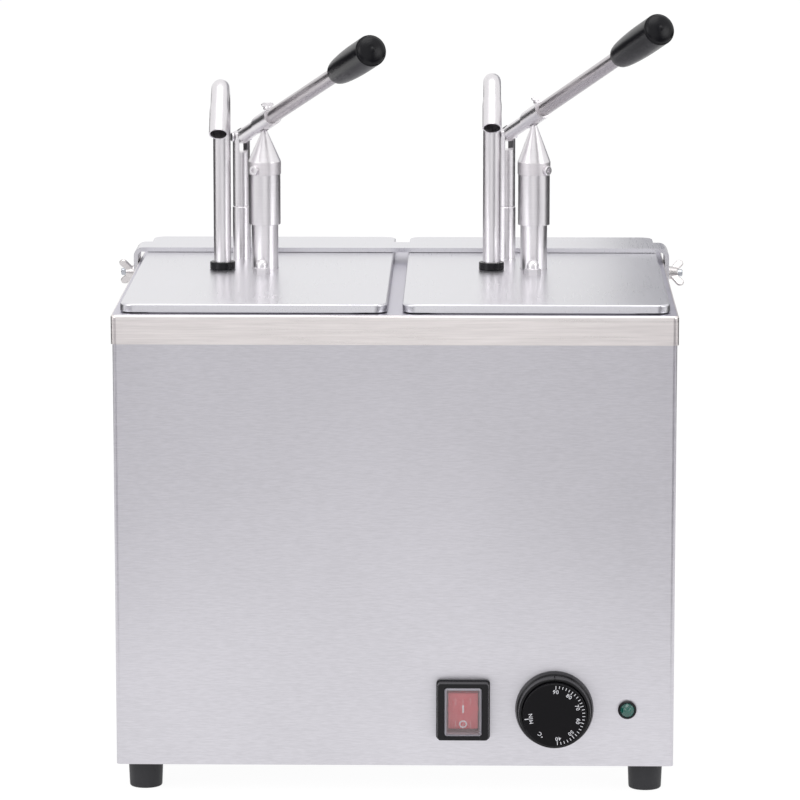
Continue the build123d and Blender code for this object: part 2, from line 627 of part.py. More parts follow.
def lamp_housing():
    """Bezel and threaded body of the indicator lamp, with its nut behind the front."""
    body = disc(LAMP_BODY_D, -LAMP_BODY_L, 0) + disc(LAMP_D, 0, LAMP_PROUD)
    body = chamfer(body.edges().group_by(Axis.Z)[-1], 0.7)
    body += hexagon(LAMP_D + 2, -SHEET - 4, -SHEET)
    body -= disc(LENS_D, 0.6, LAMP_PROUD + 1)
    for y in (-2.5, 2.5):
        body += block(-1.4, 1.4, y - 0.25, y + 0.25, -LAMP_BODY_L - 8, -LAMP_BODY_L)
    return on_front(body, LAMP_X)


def lamp_lens():
    """Green lens with a faceted crown."""
    stem = disc(LENS_D - 2 * PRESS_FIT, 0.6, LAMP_PROUD)
    crown = loft([
        Pos(0, 0, LAMP_PROUD) * RegularPolygon(LENS_D / 2 - PRESS_FIT, 12),
        Pos(0, 0, LAMP_PROUD + LENS_PROUD * 0.7) * RegularPolygon(LENS_D * 0.34, 12),
    ])
    shoulder = Pos(0, 0, LAMP_PROUD + LENS_PROUD * 0.7)
    crown += shoulder * loft([
        RegularPolygon(LENS_D * 0.34, 12),
        Pos(0, 0, LENS_PROUD * 0.3) * RegularPolygon(LENS_D * 0.14, 12),
    ])
    return on_front(stem + crown, LAMP_X)


def cord_gland():
    """Moulded compression gland in the back panel, bored through for the supply cord."""
    gland = disc(GLAND_THREAD_D, -12, 0) + hexagon(GLAND_HEX, 0, 5)
    gland += loft([Pos(0, 0, 5) * Circle(GLAND_HEX / 2 - 1), Pos(0, 0, 14) * Circle(GLAND_BORE / 2 + 2.5)])
    gland += hexagon(GLAND_HEX, -SHEET - 4, -SHEET)
    gland -= disc(GLAND_BORE, -12, 14)
    return Pos(GLAND_X, CASE_D / 2, GLAND_Z) * Rot(-90, 0, 0) * gland


# ---- Hold-down bar ----
def hold_down_bar():
    """Flat strap across both lids, bent down each side and notched to drop over the studs."""
    low, top = STUD_Z - LEG_BELOW_STUD, BAR_UNDER + BAR_T
    strap = block(-LEG_OUT, LEG_OUT, -BAR_W / 2, BAR_W / 2, low, top)
    strap = fillet(strap.edges().filter_by(Axis.Y).group_by(Axis.Z)[-1], BAR_BEND_R + BAR_T)
    inner = block(-LEG_IN, LEG_IN, -BAR_W / 2, BAR_W / 2, low, BAR_UNDER)
    strap -= fillet(inner.edges().filter_by(Axis.Y).group_by(Axis.Z)[-1], BAR_BEND_R)
    strap = fillet(strap.edges().filter_by(Axis.X).group_by(Axis.Z)[0], LEG_BELOW_STUD)
    notch = STUD_D + 4 * SLIDE_FIT
    for s in (-1, 1):
        strap -= outward(disc(notch, -BAR_T, 2 * BAR_T), s * LEG_IN, 0, STUD_Z)
        x0, x1 = sorted((s * (LEG_IN - BAR_T), s * (LEG_OUT + BAR_T)))
        strap -= block(x0, x1, -notch / 2, notch / 2, low - 1, STUD_Z)
    return Pos(0, BAR_Y, 0) * strap


def bar_studs():
    """Studs welded inside the casing that the bar's legs drop over."""
    inside = CASE_W / 2 - SHEET
    reach = RIM_W / 2 + STUD_TIP - inside
    stud = disc(2 * STUD_D, -2, 0) + chamfer(top_edges(disc(STUD_D, 0, reach)), 0.6)
    return Compound([outward(stud, s * inside, BAR_Y, STUD_Z) for s in (-1, 1)])


def wing_nut(side):
    """Cast wing nut that clamps a leg of the bar."""
    hub = loft([Circle(WING_HUB_D / 2), Pos(0, 0, WING_HUB_L) * Circle(WING_HUB_D / 2 - 1.2)])
    nut = hub
    for s in (-1, 1):
        tip = Pos(s * (WING_SPAN / 2 - 2.8), WING_REACH - 2.8) * Circle(2.8)
        waist = Pos(s * WING_HUB_D * 0.28, WING_HUB_L * 0.5) * Circle(2.4)
        wing = Rot(90, 0, 0) * extrude(make_hull(tip.edges() + waist.edges()), WING_T / 2, both=True)
        nut += wing
    nut -= disc(STUD_D + 2 * ROD_FIT, -1, WING_REACH)
    nut = Rot(0, 0, 90 + WING_TURNS[SIDES.index(side)]) * nut
    sign = 1 if side == "right" else -1
    return outward(nut, sign * (LEG_OUT + SEAT_GAP), BAR_Y, STUD_Z)


# ---- Pans and lids ----
def pan_x(side):
    return PAN_PITCH / 2 * (1 if side == "right" else -1)


def pan_core(grow, floor_z, corner_r, floor_r):
    """Tapered solid of the pan's well, grown by the given wall."""
    low_w, low_d = PAN_BODY_W - 2 * PAN_TAPER + 2 * grow, PAN_BODY_D - 2 * PAN_TAPER + 2 * grow
    core = loft([
        Pos(0, 0, floor_z) * RectangleRounded(low_w, low_d, corner_r),
        Pos(0, 0, PAN_TOP) * RectangleRounded(PAN_BODY_W + 2 * grow, PAN_BODY_D + 2 * grow, corner_r),
    ])
    return fillet(bottom_edges(core), floor_r)


def pan(side):
    """Deep-drawn food pan with a flat flange and a turned-down lip."""
    floor = PAN_TOP - PAN_DEPTH
    well = pan_core(0, floor, PAN_CORNER_R, PAN_FLOOR_R)
    lip_r = PAN_CORNER_R + PAN_FLANGE / 2
    flange = slab(PAN_OUT_W, PAN_OUT_D, PAN_TOP - PAN_LIP, PAN_TOP, lip_r)
    flange = fillet(top_edges(flange), PAN_SHEET)
    w, d = PAN_OUT_W - 2 * PAN_SHEET, PAN_OUT_D - 2 * PAN_SHEET
    under = slab(w, d, PAN_TOP - PAN_LIP, PAN_TOP - PAN_SHEET, lip_r - PAN_SHEET)
    inside = pan_core(-PAN_SHEET, floor + PAN_SHEET, PAN_CORNER_R - PAN_SHEET, PAN_FLOOR_R - PAN_SHEET)
    return Pos(pan_x(side), 0, 0) * (flange - under + well - inside)


def at_pump(side, shape):
    """Place a shape made on the pump's axis at lid-top height."""
    return Pos(pan_x(side), PUMP_Y, LID_TOP) * shape


def lid(side):
    """Folded lid whose skirt hides the pan's flange, pierced for the pump's fittings."""
    skirt = LID_TOP - LID_SKIRT
    cover = slab(LID_W, LID_D, skirt, LID_TOP, LID_CORNER_R)
    cover = fillet(top_edges(cover), LID_FOLD_R)
    w, d = LID_W - 2 * LID_SHEET, LID_D - 2 * LID_SHEET
    cover -= slab(w, d, skirt, LID_TOP - LID_SHEET, LID_CORNER_R - LID_SHEET)
    cover = Pos(pan_x(side), 0, 0) * cover
    holes = [((0, 0), PUMP_OD), (SPOUT_AT, BUSHING_NECK_D)]
    holes += [(POST_AT, POST_SPIGOT_D), (STUD_AT, PLATE_STUD_D)]
    for (x, y), d in holes:
        cover -= at_pump(side, Pos(x, y, 0) * disc(d + 2 * SLIDE_FIT, -3 * LID_SHEET, LID_SHEET))
    return cover


# ---- Pump, fixed pieces ----
def pump_cylinder():
    """Pump tube with the rod's guide and spring seat turned inside it."""
    tube = disc(PUMP_OD, PUMP_BOTTOM, PUMP_TOP) - disc(PUMP_ID, PUMP_BOTTOM, PUMP_TOP)
    tube = chamfer(top_edges(tube), 0.4)
    guide = disc(PUMP_ID + PUMP_WALL, GUIDE_TOP - GUIDE_H, GUIDE_TOP)
    return tube + guide - disc(PISTON_ROD_D + 2 * ROD_FIT, GUIDE_TOP - GUIDE_H, GUIDE_TOP)


def pump_plate():
    """Plate under the lid that joins the pump, its fulcrum and its stud, with that stud welded in."""
    spots = ((0, 0), PUMP_OD), (SPOUT_AT, SPOUT_OD), (POST_AT, POST_SPIGOT_D), (STUD_AT, PLATE_STUD_D)
    rounds = [Pos(x, y) * Circle(d / 2 + PLATE_MARGIN) for (x, y), d in spots]
    edges = [e for r in rounds for e in r.edges()]
    plate = Pos(0, 0, -LID_SHEET - PLATE_T) * extrude(make_hull(edges), PLATE_T)
    plate -= disc(PUMP_OD + 2 * PRESS_FIT, -10, 0)
    plate -= Pos(*SPOUT_AT, 0) * disc(SPOUT_OD + 2 * SLIDE_FIT, -10, 0)
    plate -= Pos(*POST_AT, 0) * disc(POST_SPIGOT_D + 2 * PRESS_FIT, -10, 0)
    return plate + Pos(*STUD_AT, 0) * disc(PLATE_STUD_D, -LID_SHEET - PLATE_T, NUT_H - NUT_CROWN)


def dome_nut():
    """Hexagon cap nut on the plate's stud."""
    nut = hexagon(NUT_HEX, 0, NUT_HEX_H)
    corner, bevel = NUT_HEX * 0.6, NUT_HEX * 0.46
    nut &= turned((0, 0), (corner, 0), (corner, NUT_HEX_H - 0.9), (bevel, NUT_HEX_H), (0, NUT_HEX_H))
    straight = NUT_H - NUT_DOME_D / 2
    cap = Sphere(NUT_DOME_D / 2) & disc(NUT_DOME_D, 0, NUT_DOME_D)
    dome = disc(NUT_DOME_D, NUT_HEX_H, straight) + Pos(0, 0, straight) * cap
    bore = disc(PLATE_STUD_D + 2 * PRESS_FIT, 0, NUT_H - NUT_CROWN + ROD_FIT)
    return Pos(*STUD_AT, 0) * (nut + dome - bore)


def spout_path(side, z0):
    """Centre line: up the riser, over the arch and down to the outlet."""
    x, y = SPOUT_AT
    top = SPOUT_TOPS[SIDES.index(side)]
    spring = top - SPOUT_ARCH_R
    a = radians(90 - SPOUT_DROOP)
    end = Vector(x, y - SPOUT_ARCH_R * (1 + cos(a)), spring + SPOUT_ARCH_R * sin(a))
    riser = Line((x, y, z0), (x, y, spring))
    arch = ThreePointArc((x, y, spring), (x, y - SPOUT_ARCH_R, top), end)
    leg = Line(end, end + SPOUT_LEG * Vector(0, -sin(a), -cos(a)))
    return riser + arch + leg


def flared(d0, d1, end):
    """Outlet's widened length, from the tube's diameter to the outlet's."""
    blend = loft([Pos(0, 0, -FLARE_L) * Circle(d0 / 2), Pos(0, 0, -FLARE_L + FLARE_BLEND) * Circle(d1 / 2)])
    return blend + disc(d1, -FLARE_L + FLARE_BLEND, end)


def spout_tube(side):
    """Discharge tube from the valve body up through the lid, flared at its outlet."""
    path = spout_path(side, PUMP_BOTTOM)
    start = Plane(origin=path @ 0, z_dir=path % 0)
    outlet = Plane(origin=path @ 1, z_dir=path % 1)
    inner_d, flare_id = SPOUT_OD - 2 * SPOUT_WALL, FLARE_OD - 2 * SPOUT_WALL
    tube = sweep(start * Circle(SPOUT_OD / 2), path=path) + outlet * flared(SPOUT_OD, FLARE_OD, 0)
    bore = sweep(start * Circle(inner_d / 2), path=path) + outlet * flared(inner_d, flare_id, 1)
    return tube - bore


def spout_bushing():
    """Black bushing that seals the riser where it leaves the lid."""
    ring = disc(BUSHING_D, 0, BUSHING_H)
    ring = fillet(top_edges(ring), 0.8) + disc(BUSHING_NECK_D, -LID_SHEET, 0)
    return Pos(*SPOUT_AT, 0) * (ring - disc(SPOUT_OD + 2 * PRESS_FIT, -LID_SHEET, BUSHING_H))


def pivot_z(side):
    return PIVOT_HEIGHTS[SIDES.index(side)]


def fulcrum_post(side):
    """Turned post screwed into the plate, slotted at its top as a fork for the lever."""
    post = chamfer(top_edges(disc(POST_OD, 0, FORK_STEP)), 0.8)
    top = pivot_z(side) + FORK_ABOVE_PIVOT
    fork = fillet(top_edges(disc(FORK_OD, FORK_STEP, top)), 2.0)
    post += fork + disc(POST_SPIGOT_D, -LID_SHEET - PLATE_T, 0)
    low = pivot_z(side) - SLOT_BELOW_PIVOT
    slot = block(-FORK_OD, FORK_OD, -SLOT_W / 2, SLOT_W / 2, low, top + 1)
    pin = Pos(0, 0, pivot_z(side)) * Rot(90, 0, 0) * disc(PIN_D + 2 * PRESS_FIT, -FORK_OD, FORK_OD)
    return Pos(*POST_AT, 0) * (post - Rot(0, 0, LEVER_BEARING - 90) * (slot + pin))


def pivot_pin(side):
    """Headed pin through the fork, peened at its far end."""
    half = FORK_OD / 2
    pin = disc(PIN_D, -half - PIN_HEAD_T, half + PIN_HEAD_T)
    pin += fillet(top_edges(disc(PIN_HEAD_D, half, half + PIN_HEAD_T)), 0.5)
    pin += disc(PIN_HEAD_D * 0.85, -half - PIN_HEAD_T, -half)
    return Pos(*POST_AT, pivot_z(side)) * Rot(0, 0, LEVER_BEARING - 90) * Rot(90, 0, 0) * pin


def valve_body():
    """Casting at the pump's foot: socket for the tube, ball inlet below, passage to the spout."""
    top, bottom = PUMP_BOTTOM + TUBE_SOCKET, PUMP_BOTTOM + TUBE_SOCKET - VALVE_H
    sketch = make_hull(Circle(VALVE_D / 2).edges() + (Pos(*SPOUT_AT) * Circle(VALVE_BOSS_D / 2)).edges())
    body = Pos(0, 0, bottom) * extrude(sketch, VALVE_H)
    body -= disc(PUMP_OD + 2 * PRESS_FIT, PUMP_BOTTOM, top)
    body -= Pos(*SPOUT_AT, 0) * disc(SPOUT_OD + 2 * PRESS_FIT, PUMP_BOTTOM, top)
    ball_z = PUMP_BOTTOM - BALL_D * 0.75
    body -= disc(BALL_D + 1.6, ball_z - BALL_D * 0.3, PUMP_BOTTOM)
    body -= disc(INLET_D, bottom, PUMP_BOTTOM)
    bearing = Vector(1, 0, 0).get_signed_angle(Vector(*SPOUT_AT, 0))
    run = Vector(*SPOUT_AT, 0).length
    passage = Pos(0, 0, PUMP_BOTTOM - 3.2) * Rot(0, 0, bearing) * Rot(0, 90, 0) * disc(6.0, 0, run)
    body -= passage + Pos(*SPOUT_AT, 0) * disc(SPOUT_OD - 2 * SPOUT_WALL, PUMP_BOTTOM - 6.2, PUMP_BOTTOM)
    return body


def return_spring():
    """Round-wire spring from the guide up to the underside of the cone."""
    low, high = GUIDE_TOP + SPRING_WIRE / 2, COLLAR_BORE_TOP - SPRING_WIRE / 2
    coil = Helix(pitch=(high - low) / SPRING_TURNS, height=high - low, radius=SPRING_MEAN_D / 2)
    wire = Plane(origin=coil @ 0, z_dir=coil % 0) * Circle(SPRING_WIRE / 2)
    return Pos(0, 0, low) * sweep(wire, path=coil, is_frenet=True)


# ---- Pump, sliding pieces ----
def piston():
    """Rod and grooved piston head turned as one."""
    z1, z0, r = PISTON_HEAD_Z, PISTON_HEAD_Z - PISTON_HEAD_L, PISTON_HEAD_D / 2
    head = disc(PISTON_HEAD_D, z0, z1)
    for z in (z0 + PISTON_HEAD_L * 0.3, z0 + PISTON_HEAD_L * 0.7):
        core = disc(2 * (r - SEAL_GROOVE), z - 2 * SEAL_GROOVE, z + 2 * SEAL_GROOVE)
        head -= disc(PISTON_HEAD_D + 1, z - SEAL_GROOVE, z + SEAL_GROOVE) - core
    return head + disc(PISTON_ROD_D, z1, ROD_TOP)


def piston_sleeve():
    """Outer sleeve that telescopes over the pump tube, with a spigot inside the collar."""
    sleeve = chamfer(disc(SLEEVE_OD, SLEEVE_BOTTOM, SLEEVE_TOP).edges().filter_by(GeomType.CIRCLE), 0.4)
    sleeve += disc(SPIGOT_OD, SLEEVE_TOP, SLEEVE_TOP + SPIGOT_H)
    return sleeve - disc(PUMP_OD + 2 * SLIDE_FIT, SLEEVE_BOTTOM, SLEEVE_TOP + SPIGOT_H)


def cone_tip_z(side):
    """Height of the cone's tip in the slot under the lever's socket at rest."""
    rise = radians(LEVER_RISES[SIDES.index(side)])
    slot_roof = SOCKET_OD / 2 - TIP_SLOT_DEEP
    return pivot_z(side) + LEVER_RUN * tan(rise) - slot_roof / cos(rise) - CONE_GAP


def piston_cone(side):
    """Turned cone that the lever presses, with the collar that grips the sleeve."""
    tip = cone_tip_z(side)
    r, tip_r = COLLAR_OD / 2, CONE_TIP_D / 2
    cone = turned(
        (0, SLEEVE_TOP), (r - 0.4, SLEEVE_TOP), (r, SLEEVE_TOP + 0.4), (r, COLLAR_TOP),
        (tip_r, tip - 0.6), (tip_r - 0.8, tip), (0, tip),
    )
    cone -= disc(SPIGOT_OD + 2 * PRESS_FIT, SLEEVE_TOP, COLLAR_BORE_TOP)
    cone -= disc(PISTON_ROD_D + 2 * PRESS_FIT, COLLAR_BORE_TOP, ROD_TOP)
    seat = disc(COLLAR_SCREW_HEAD + 2 * PRESS_FIT, COLLAR_OD / 2 - COLLAR_SCREW_SEAT, COLLAR_OD)
    bore = disc(COLLAR_SCREW_D, SPIGOT_OD / 2 + PRESS_FIT, COLLAR_OD / 2)
    return cone - on_collar(side, seat + bore)


def on_collar(side, shape):
    """Stand a shape made about Z from the pump's axis on the collar screw's line."""
    turn = COLLAR_SCREW_ANGLES[SIDES.index(side)]
    z = (SLEEVE_TOP + COLLAR_TOP) / 2 - COLLAR_SCREW_DROP
    return Pos(0, 0, z) * Rot(0, 0, turn) * Rot(90, 0, 0) * shape


def collar_screw(side):
    """Socket-head screw that locks the cone to the sleeve."""
    face = COLLAR_OD / 2
    screw = disc(COLLAR_SCREW_D, SPIGOT_OD / 2 + 2 * PRESS_FIT, face)
    head = disc(COLLAR_SCREW_HEAD, face - COLLAR_SCREW_SEAT, face + COLLAR_SCREW_H)
    screw += fillet(top_edges(head), 0.5)
    screw -= hexagon(COLLAR_SCREW_HEAD * 0.45, face + 0.5, face + COLLAR_SCREW_H + 1)
    return on_collar(side, screw)


# ---- Lever, made along +X from its pivot, then raised and turned over the pump ----
def place_lever(side, shape):
    rise = LEVER_RISES[SIDES.index(side)]
    return Pos(*POST_AT, pivot_z(side)) * Rot(0, 0, LEVER_BEARING - 90) * Rot(0, -rise, 0) * shape


def along_lever(shape):
    """Lay a shape's local Z along the lever."""
    return Rot(0, 90, 0) * shape


def lever_arm():
    """Flat tongue for the fork, a round shank and a bored socket for the rod, in one piece."""
    h, t = TONGUE_H / 2, TONGUE_T / 2
    tongue = block(0, SHANK_START + 2, -t, t, -h, h) + Rot(90, 0, 0) * disc(TONGUE_H, -t, t)
    shank = along_lever(disc(SHANK_D, SHANK_START, SOCKET_START + 1))
    socket = along_lever(disc(SOCKET_OD, SOCKET_START, SOCKET_END))
    socket = chamfer(socket.edges().group_by(Axis.X)[0], 0.8)
    arm = tongue + shank + socket
    arm -= Rot(90, 0, 0) * disc(PIN_D + 2 * ROD_FIT, -TONGUE_H, TONGUE_H)
    arm -= along_lever(disc(LEVER_ROD_D + 2 * PRESS_FIT, SOCKET_BORE_START, SOCKET_END))
    arm -= Pos(THUMB_AT, 0, 0) * disc(THUMB_D + 2 * PRESS_FIT, LEVER_ROD_D / 2, SOCKET_OD)
    roof = SOCKET_OD / 2 - TIP_SLOT_DEEP
    slot = extrude(SlotOverall(TIP_SLOT[1] - TIP_SLOT[0], TIP_SLOT_W), TIP_SLOT_DEEP + 1)
    return arm - Pos((TIP_SLOT[0] + TIP_SLOT[1]) / 2, 0, -roof - TIP_SLOT_DEEP - 1) * slot


def lever_rod():
    """Polished rod from the socket into the grip."""
    rod = disc(LEVER_ROD_D, SOCKET_BORE_START, GRIP_START + GRIP_BORE)
    return along_lever(chamfer(rod.edges().filter_by(GeomType.CIRCLE), 0.5))


def lever_grip():
    """Moulded barrel grip with a domed end."""
    end_r, neck_r = GRIP_END_D / 2, GRIP_NECK_D / 2
    dome, full = GRIP_END - GRIP_DOME, GRIP_START + GRIP_SWELL
    cap_edge = end_r - 0.5
    cap_h = GRIP_DOME - 0.6
    cap_r = (cap_edge ** 2 + cap_h ** 2) / (2 * cap_h)
    half = asin(cap_edge / cap_r) / 2
    crown = (cap_r * sin(half), 0, GRIP_END - cap_r * (1 - cos(half)))
    cap = ThreePointArc((cap_edge, 0, GRIP_END - cap_h), crown, (0, 0, GRIP_END))
    ends = (neck_r, 0, GRIP_START + 2), (end_r * 0.9, 0, GRIP_START + 20), (end_r, 0, full)
    barrel = Spline(*ends, tangents=[(0.4, 0, 1), (0, 0, 1)])
    flank = Line(barrel @ 1, (end_r, 0, dome))
    outline = [barrel, flank, Line(flank @ 1, cap @ 0), cap, Line(cap @ 1, (0, 0, GRIP_START))]
    mouth = (neck_r - 2, 0, GRIP_START)
    outline += [Line((0, 0, GRIP_START), mouth), Line(mouth, barrel @ 0)]
    grip = revolve(make_face(outline), Axis.Z)
    return along_lever(grip - disc(LEVER_ROD_D + 2 * PRESS_FIT, GRIP_START, GRIP_START + GRIP_BORE + 1))


def lever_screw():
    """Thumb screw that locks the rod in its socket, its wings standing across the lever."""
    r = SOCKET_OD / 2
    stem = disc(THUMB_D, LEVER_ROD_D / 2 + PRESS_FIT, r + 1.5) + disc(THUMB_D + 2, r + 0.2, r + 1.6)
    spots = [(-THUMB_W / 2 + 1.2, r + THUMB_H - 1.2), (THUMB_W / 2 - 1.2, r + THUMB_H - 1.2), (0, r + 2)]
    wing = make_hull([e for spot in spots for e in (Pos(*spot) * Circle(1.2)).edges()])
    wing = Rot(0, 0, 90) * Rot(90, 0, 0) * extrude(wing, 0.9, both=True)
    return Pos(THUMB_AT, 0, 0) * (stem + wing)


# ---- Assembly ----
def build():
    """Every node by name."""
    nodes = {
        "outer_casing": outer_casing(),
        "back_panel": back_panel(),
        "base_plate": base_plate(),
        "top_deck": top_deck(),
        "water_tank": water_tank(),
        "heating_element": heating_element(),
        "thermostat_body": thermostat_body(),
        "thermostat_spindle": thermostat_spindle(),
        "dial_bezel": dial_bezel(),
        "thermostat_knob": thermostat_knob(),
        "switch_housing": switch_housing(),
        "switch_rocker": switch_rocker(),
        "switch_cover": switch_cover(),
        "lamp_housing": lamp_housing(),
        "lamp_lens": lamp_lens(),
        "cord_gland": cord_gland(),
        "feet": feet(),
        "cabinet_screws": cabinet_screws(),
        "bar_studs": bar_studs(),
        "hold_down_bar": hold_down_bar(),
    }
    pump = {
        "pump_cylinder": pump_cylinder(),
        "pump_plate": pump_plate(),
        "dome_nut": dome_nut(),
        "spout_bushing": spout_bushing(),
        "valve_body": valve_body(),
        "return_spring": return_spring(),
        "piston": piston(),
        "piston_sleeve": piston_sleeve(),
    }
    lever = {
        "lever_arm": lever_arm(),
        "lever_rod": lever_rod(),
        "lever_grip": lever_grip(),
        "lever_screw": lever_screw(),
    }
    by_side = {
        "spout_tube": spout_tube,
        "fulcrum_post": fulcrum_post,
        "pivot_pin": pivot_pin,
        "piston_cone": piston_cone,
        "collar_screw": collar_screw,
    }
    for side in SIDES:
        nodes[f"wing_nut_{side}"] = wing_nut(side)
        nodes[f"pan_{side}"] = pan(side)
        nodes[f"lid_{side}"] = lid(side)
        for name, shape in pump.items():
            nodes[f"{name}_{side}"] = at_pump(side, shape)
        for name, maker in by_side.items():
            nodes[f"{name}_{side}"] = at_pump(side, maker(side))
        for name, shape in lever.items():
            nodes[f"{name}_{side}"] = at_pump(side, place_lever(side, shape))
    return nodes


os.makedirs("parts", exist_ok=True)
for node, shape in build().items():
    export_step(shape, f"parts/{node}.step")
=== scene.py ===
import json
import math
import bpy
import bmesh
from mathutils import Matrix, Vector


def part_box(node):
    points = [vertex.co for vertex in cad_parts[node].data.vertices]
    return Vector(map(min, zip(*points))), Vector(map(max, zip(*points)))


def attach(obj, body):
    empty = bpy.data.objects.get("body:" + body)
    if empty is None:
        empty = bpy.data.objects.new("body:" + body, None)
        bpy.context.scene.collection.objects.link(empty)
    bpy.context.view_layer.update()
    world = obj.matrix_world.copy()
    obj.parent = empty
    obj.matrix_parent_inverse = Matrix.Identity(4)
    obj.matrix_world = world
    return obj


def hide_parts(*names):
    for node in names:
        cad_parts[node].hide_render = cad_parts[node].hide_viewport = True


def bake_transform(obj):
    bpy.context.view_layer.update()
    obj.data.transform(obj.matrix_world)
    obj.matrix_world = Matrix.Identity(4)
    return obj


# Counter-top topping warmer: a stainless water bath with two lidded pans, each
# with its own lever pump. Metres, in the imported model's frame.
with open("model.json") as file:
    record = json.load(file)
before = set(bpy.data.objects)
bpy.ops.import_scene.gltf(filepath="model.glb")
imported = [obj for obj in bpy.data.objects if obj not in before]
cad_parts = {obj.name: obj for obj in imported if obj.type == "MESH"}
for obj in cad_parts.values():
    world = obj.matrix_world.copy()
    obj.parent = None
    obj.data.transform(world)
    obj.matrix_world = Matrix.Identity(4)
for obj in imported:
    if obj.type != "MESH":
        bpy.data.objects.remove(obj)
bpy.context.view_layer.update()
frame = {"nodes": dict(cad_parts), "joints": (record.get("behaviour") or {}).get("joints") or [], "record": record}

# ---- Camera ----
# A long lens a little above the lids, three metres off and all but square to
# the front, so that upright edges stay upright and both lids show their tops.
LENS_AT = (0.0552, -3.128, 0.7705)
AIM_AT = (0.0036, -0.1725, 0.2652)
FOCAL_MM, FILM_MM = 206.5, 36.0
view = bpy.data.objects.new("camera", bpy.data.cameras.new("camera"))
view.data.lens = FOCAL_MM
view.data.sensor_width = FILM_MM
view.location = LENS_AT
sight = Vector(AIM_AT) - Vector(LENS_AT)
view.rotation_euler = sight.to_track_quat("-Z", "Y").to_euler()
bpy.context.scene.collection.objects.link(view)
bpy.context.scene.camera = view
bpy.context.scene.view_settings.view_transform = "Standard"


# ---- Studio ----
# A white sweep under plain soft light: one box overhead and one to each side.
# Grey cards, met only by light that steel or gloss mirrors, keep round pieces
# from looking flat white.
def linear(hex_value):
    """Linear RGBA of an sRGB hex colour."""
    parts = [int(hex_value[i:i + 2], 16) / 255 for i in (1, 3, 5)]
    bright = [p / 12.92 if p <= 0.04045 else ((p + 0.055) / 1.055) ** 2.4 for p in parts]
    return (*bright, 1.0)


def add(tree, kind, settings=None, **inputs):
    """Add a node with its settings; an input takes a value or the socket that feeds it."""
    made = tree.nodes.new(kind)
    for name, value in (settings or {}).items():
        setattr(made, name, value)
    for name, value in inputs.items():
        words = name.replace("_", " ")
        at = int(words[1:]) if words[1:].isdigit() and words[0] == "i" else words
        if isinstance(value, bpy.types.NodeSocket):
            tree.links.new(value, made.inputs[at])
        else:
            made.inputs[at].default_value = value
    return made


def finish_named(name, shader):
    """New material whose surface is what shader(tree) returns."""
    made = bpy.data.materials.new(name)
    made.use_nodes = True
    made.node_tree.nodes.clear()
    out = made.node_tree.nodes.new("ShaderNodeOutputMaterial")
    made.node_tree.links.new(shader(made.node_tree), out.inputs["Surface"])
    return made


def sheet_object(name, corners, material):
    """Flat stage sheet through four corners."""
    mesh = bpy.data.meshes.new(name)
    mesh.from_pydata(corners, [], [(0, 1, 2, 3)])
    mesh.materials.append(material)
    made = bpy.data.objects.new(name, mesh)
    bpy.context.scene.collection.objects.link(made)
    return made


def maths(tree, operation, *values):
    """What a maths node makes of its values."""
    inputs = {f"i{k}": value for k, value in enumerate(values)}
    return add(tree, "ShaderNodeMath", {"operation": operation}, **inputs).outputs[0]


def seen_or_mirrored(tree):
    """1 for a ray from the lens, a mirror or a clear piece, 0 for a ray that lights a matt one."""
    seen = add(tree, "ShaderNodeLightPath").outputs
    mirrored = maths(tree, "MAXIMUM", seen["Is Camera Ray"], seen["Is Glossy Ray"])
    return maths(tree, "MAXIMUM", mirrored, seen["Is Transmission Ray"])


FLOOR_GLOW = 0.86           # how much of the floor's look is its own white
FLOOR_WHITE = 1.1           # that white, bright enough to clip as a lit paper sweep does


def floor_paint(tree):
    """White paint; the lens and the steel see it near white, under the object's shadow."""
    share = maths(tree, "MULTIPLY", seen_or_mirrored(tree), FLOOR_GLOW)
    paint = add(tree, "ShaderNodeBsdfDiffuse", Color=linear("#f4f4f5"))
    glow = add(tree, "ShaderNodeEmission", Color=linear("#ffffff"), Strength=FLOOR_WHITE)
    return add(tree, "ShaderNodeMixShader", i0=share, i1=paint.outputs[0], i2=glow.outputs[0]).outputs[0]


FLOOR_REACH = 9.0           # half its width
floor_corners = [(x * FLOOR_REACH, y * FLOOR_REACH, 0) for x, y in ((-1, -1), (1, -1), (1, 1), (-1, 1))]
sheet_object("floor", floor_corners, finish_named("painted_floor", floor_paint))


def upright(x0, y0, x1, y1, low, high):
    """Corners of a card that stands over the line from (x0, y0) to (x1, y1)."""
    return [(x0, y0, low), (x1, y1, low), (x1, y1, high), (x0, y0, high)]


def lying(x0, x1, near=-2.4, far=-0.5, up=0.02):
    """Corners of a card that lies on the floor in front of the cabinet."""
    return [(x0, near, up), (x1, near, up), (x1, far, up), (x0, far, up)]


# Each card has its grey and its corners. The dark pair behind draws the dark
# edges of round pieces, the pale one behind tones the right lid down, the tall
# narrow one in front puts the dark line down each tube, and the two lying ones
# shade the front panel towards its sides.
for name, grey, corners in (
    ("flag_left", "#19181b", upright(-1.6, 0.0, -0.6, 1.9, 0.01, 0.5)),
    ("flag_right", "#19181b", upright(1.6, 0.0, 0.6, 1.9, 0.01, 0.5)),
    ("flag_back", "#9c9ca2", upright(0.22, 2.2, 2.2, 2.2, 0.4, 1.4)),
    ("flag_slot", "#19181b", upright(1.0, -1.85, 1.35, -1.6, 0.01, 2.2)),
    ("flag_low_left", "#8d8b92", lying(-2.0, -0.34)),
    ("flag_low_right", "#7d7a82", lying(0.28, 2.0)),
):
    felt = finish_named(name, lambda tree: add(tree, "ShaderNodeEmission", Color=linear(grey)).outputs[0])
    flag = sheet_object(name, corners, felt)
    flag.visible_camera = False
    flag.visible_diffuse = False
    flag.visible_shadow = False

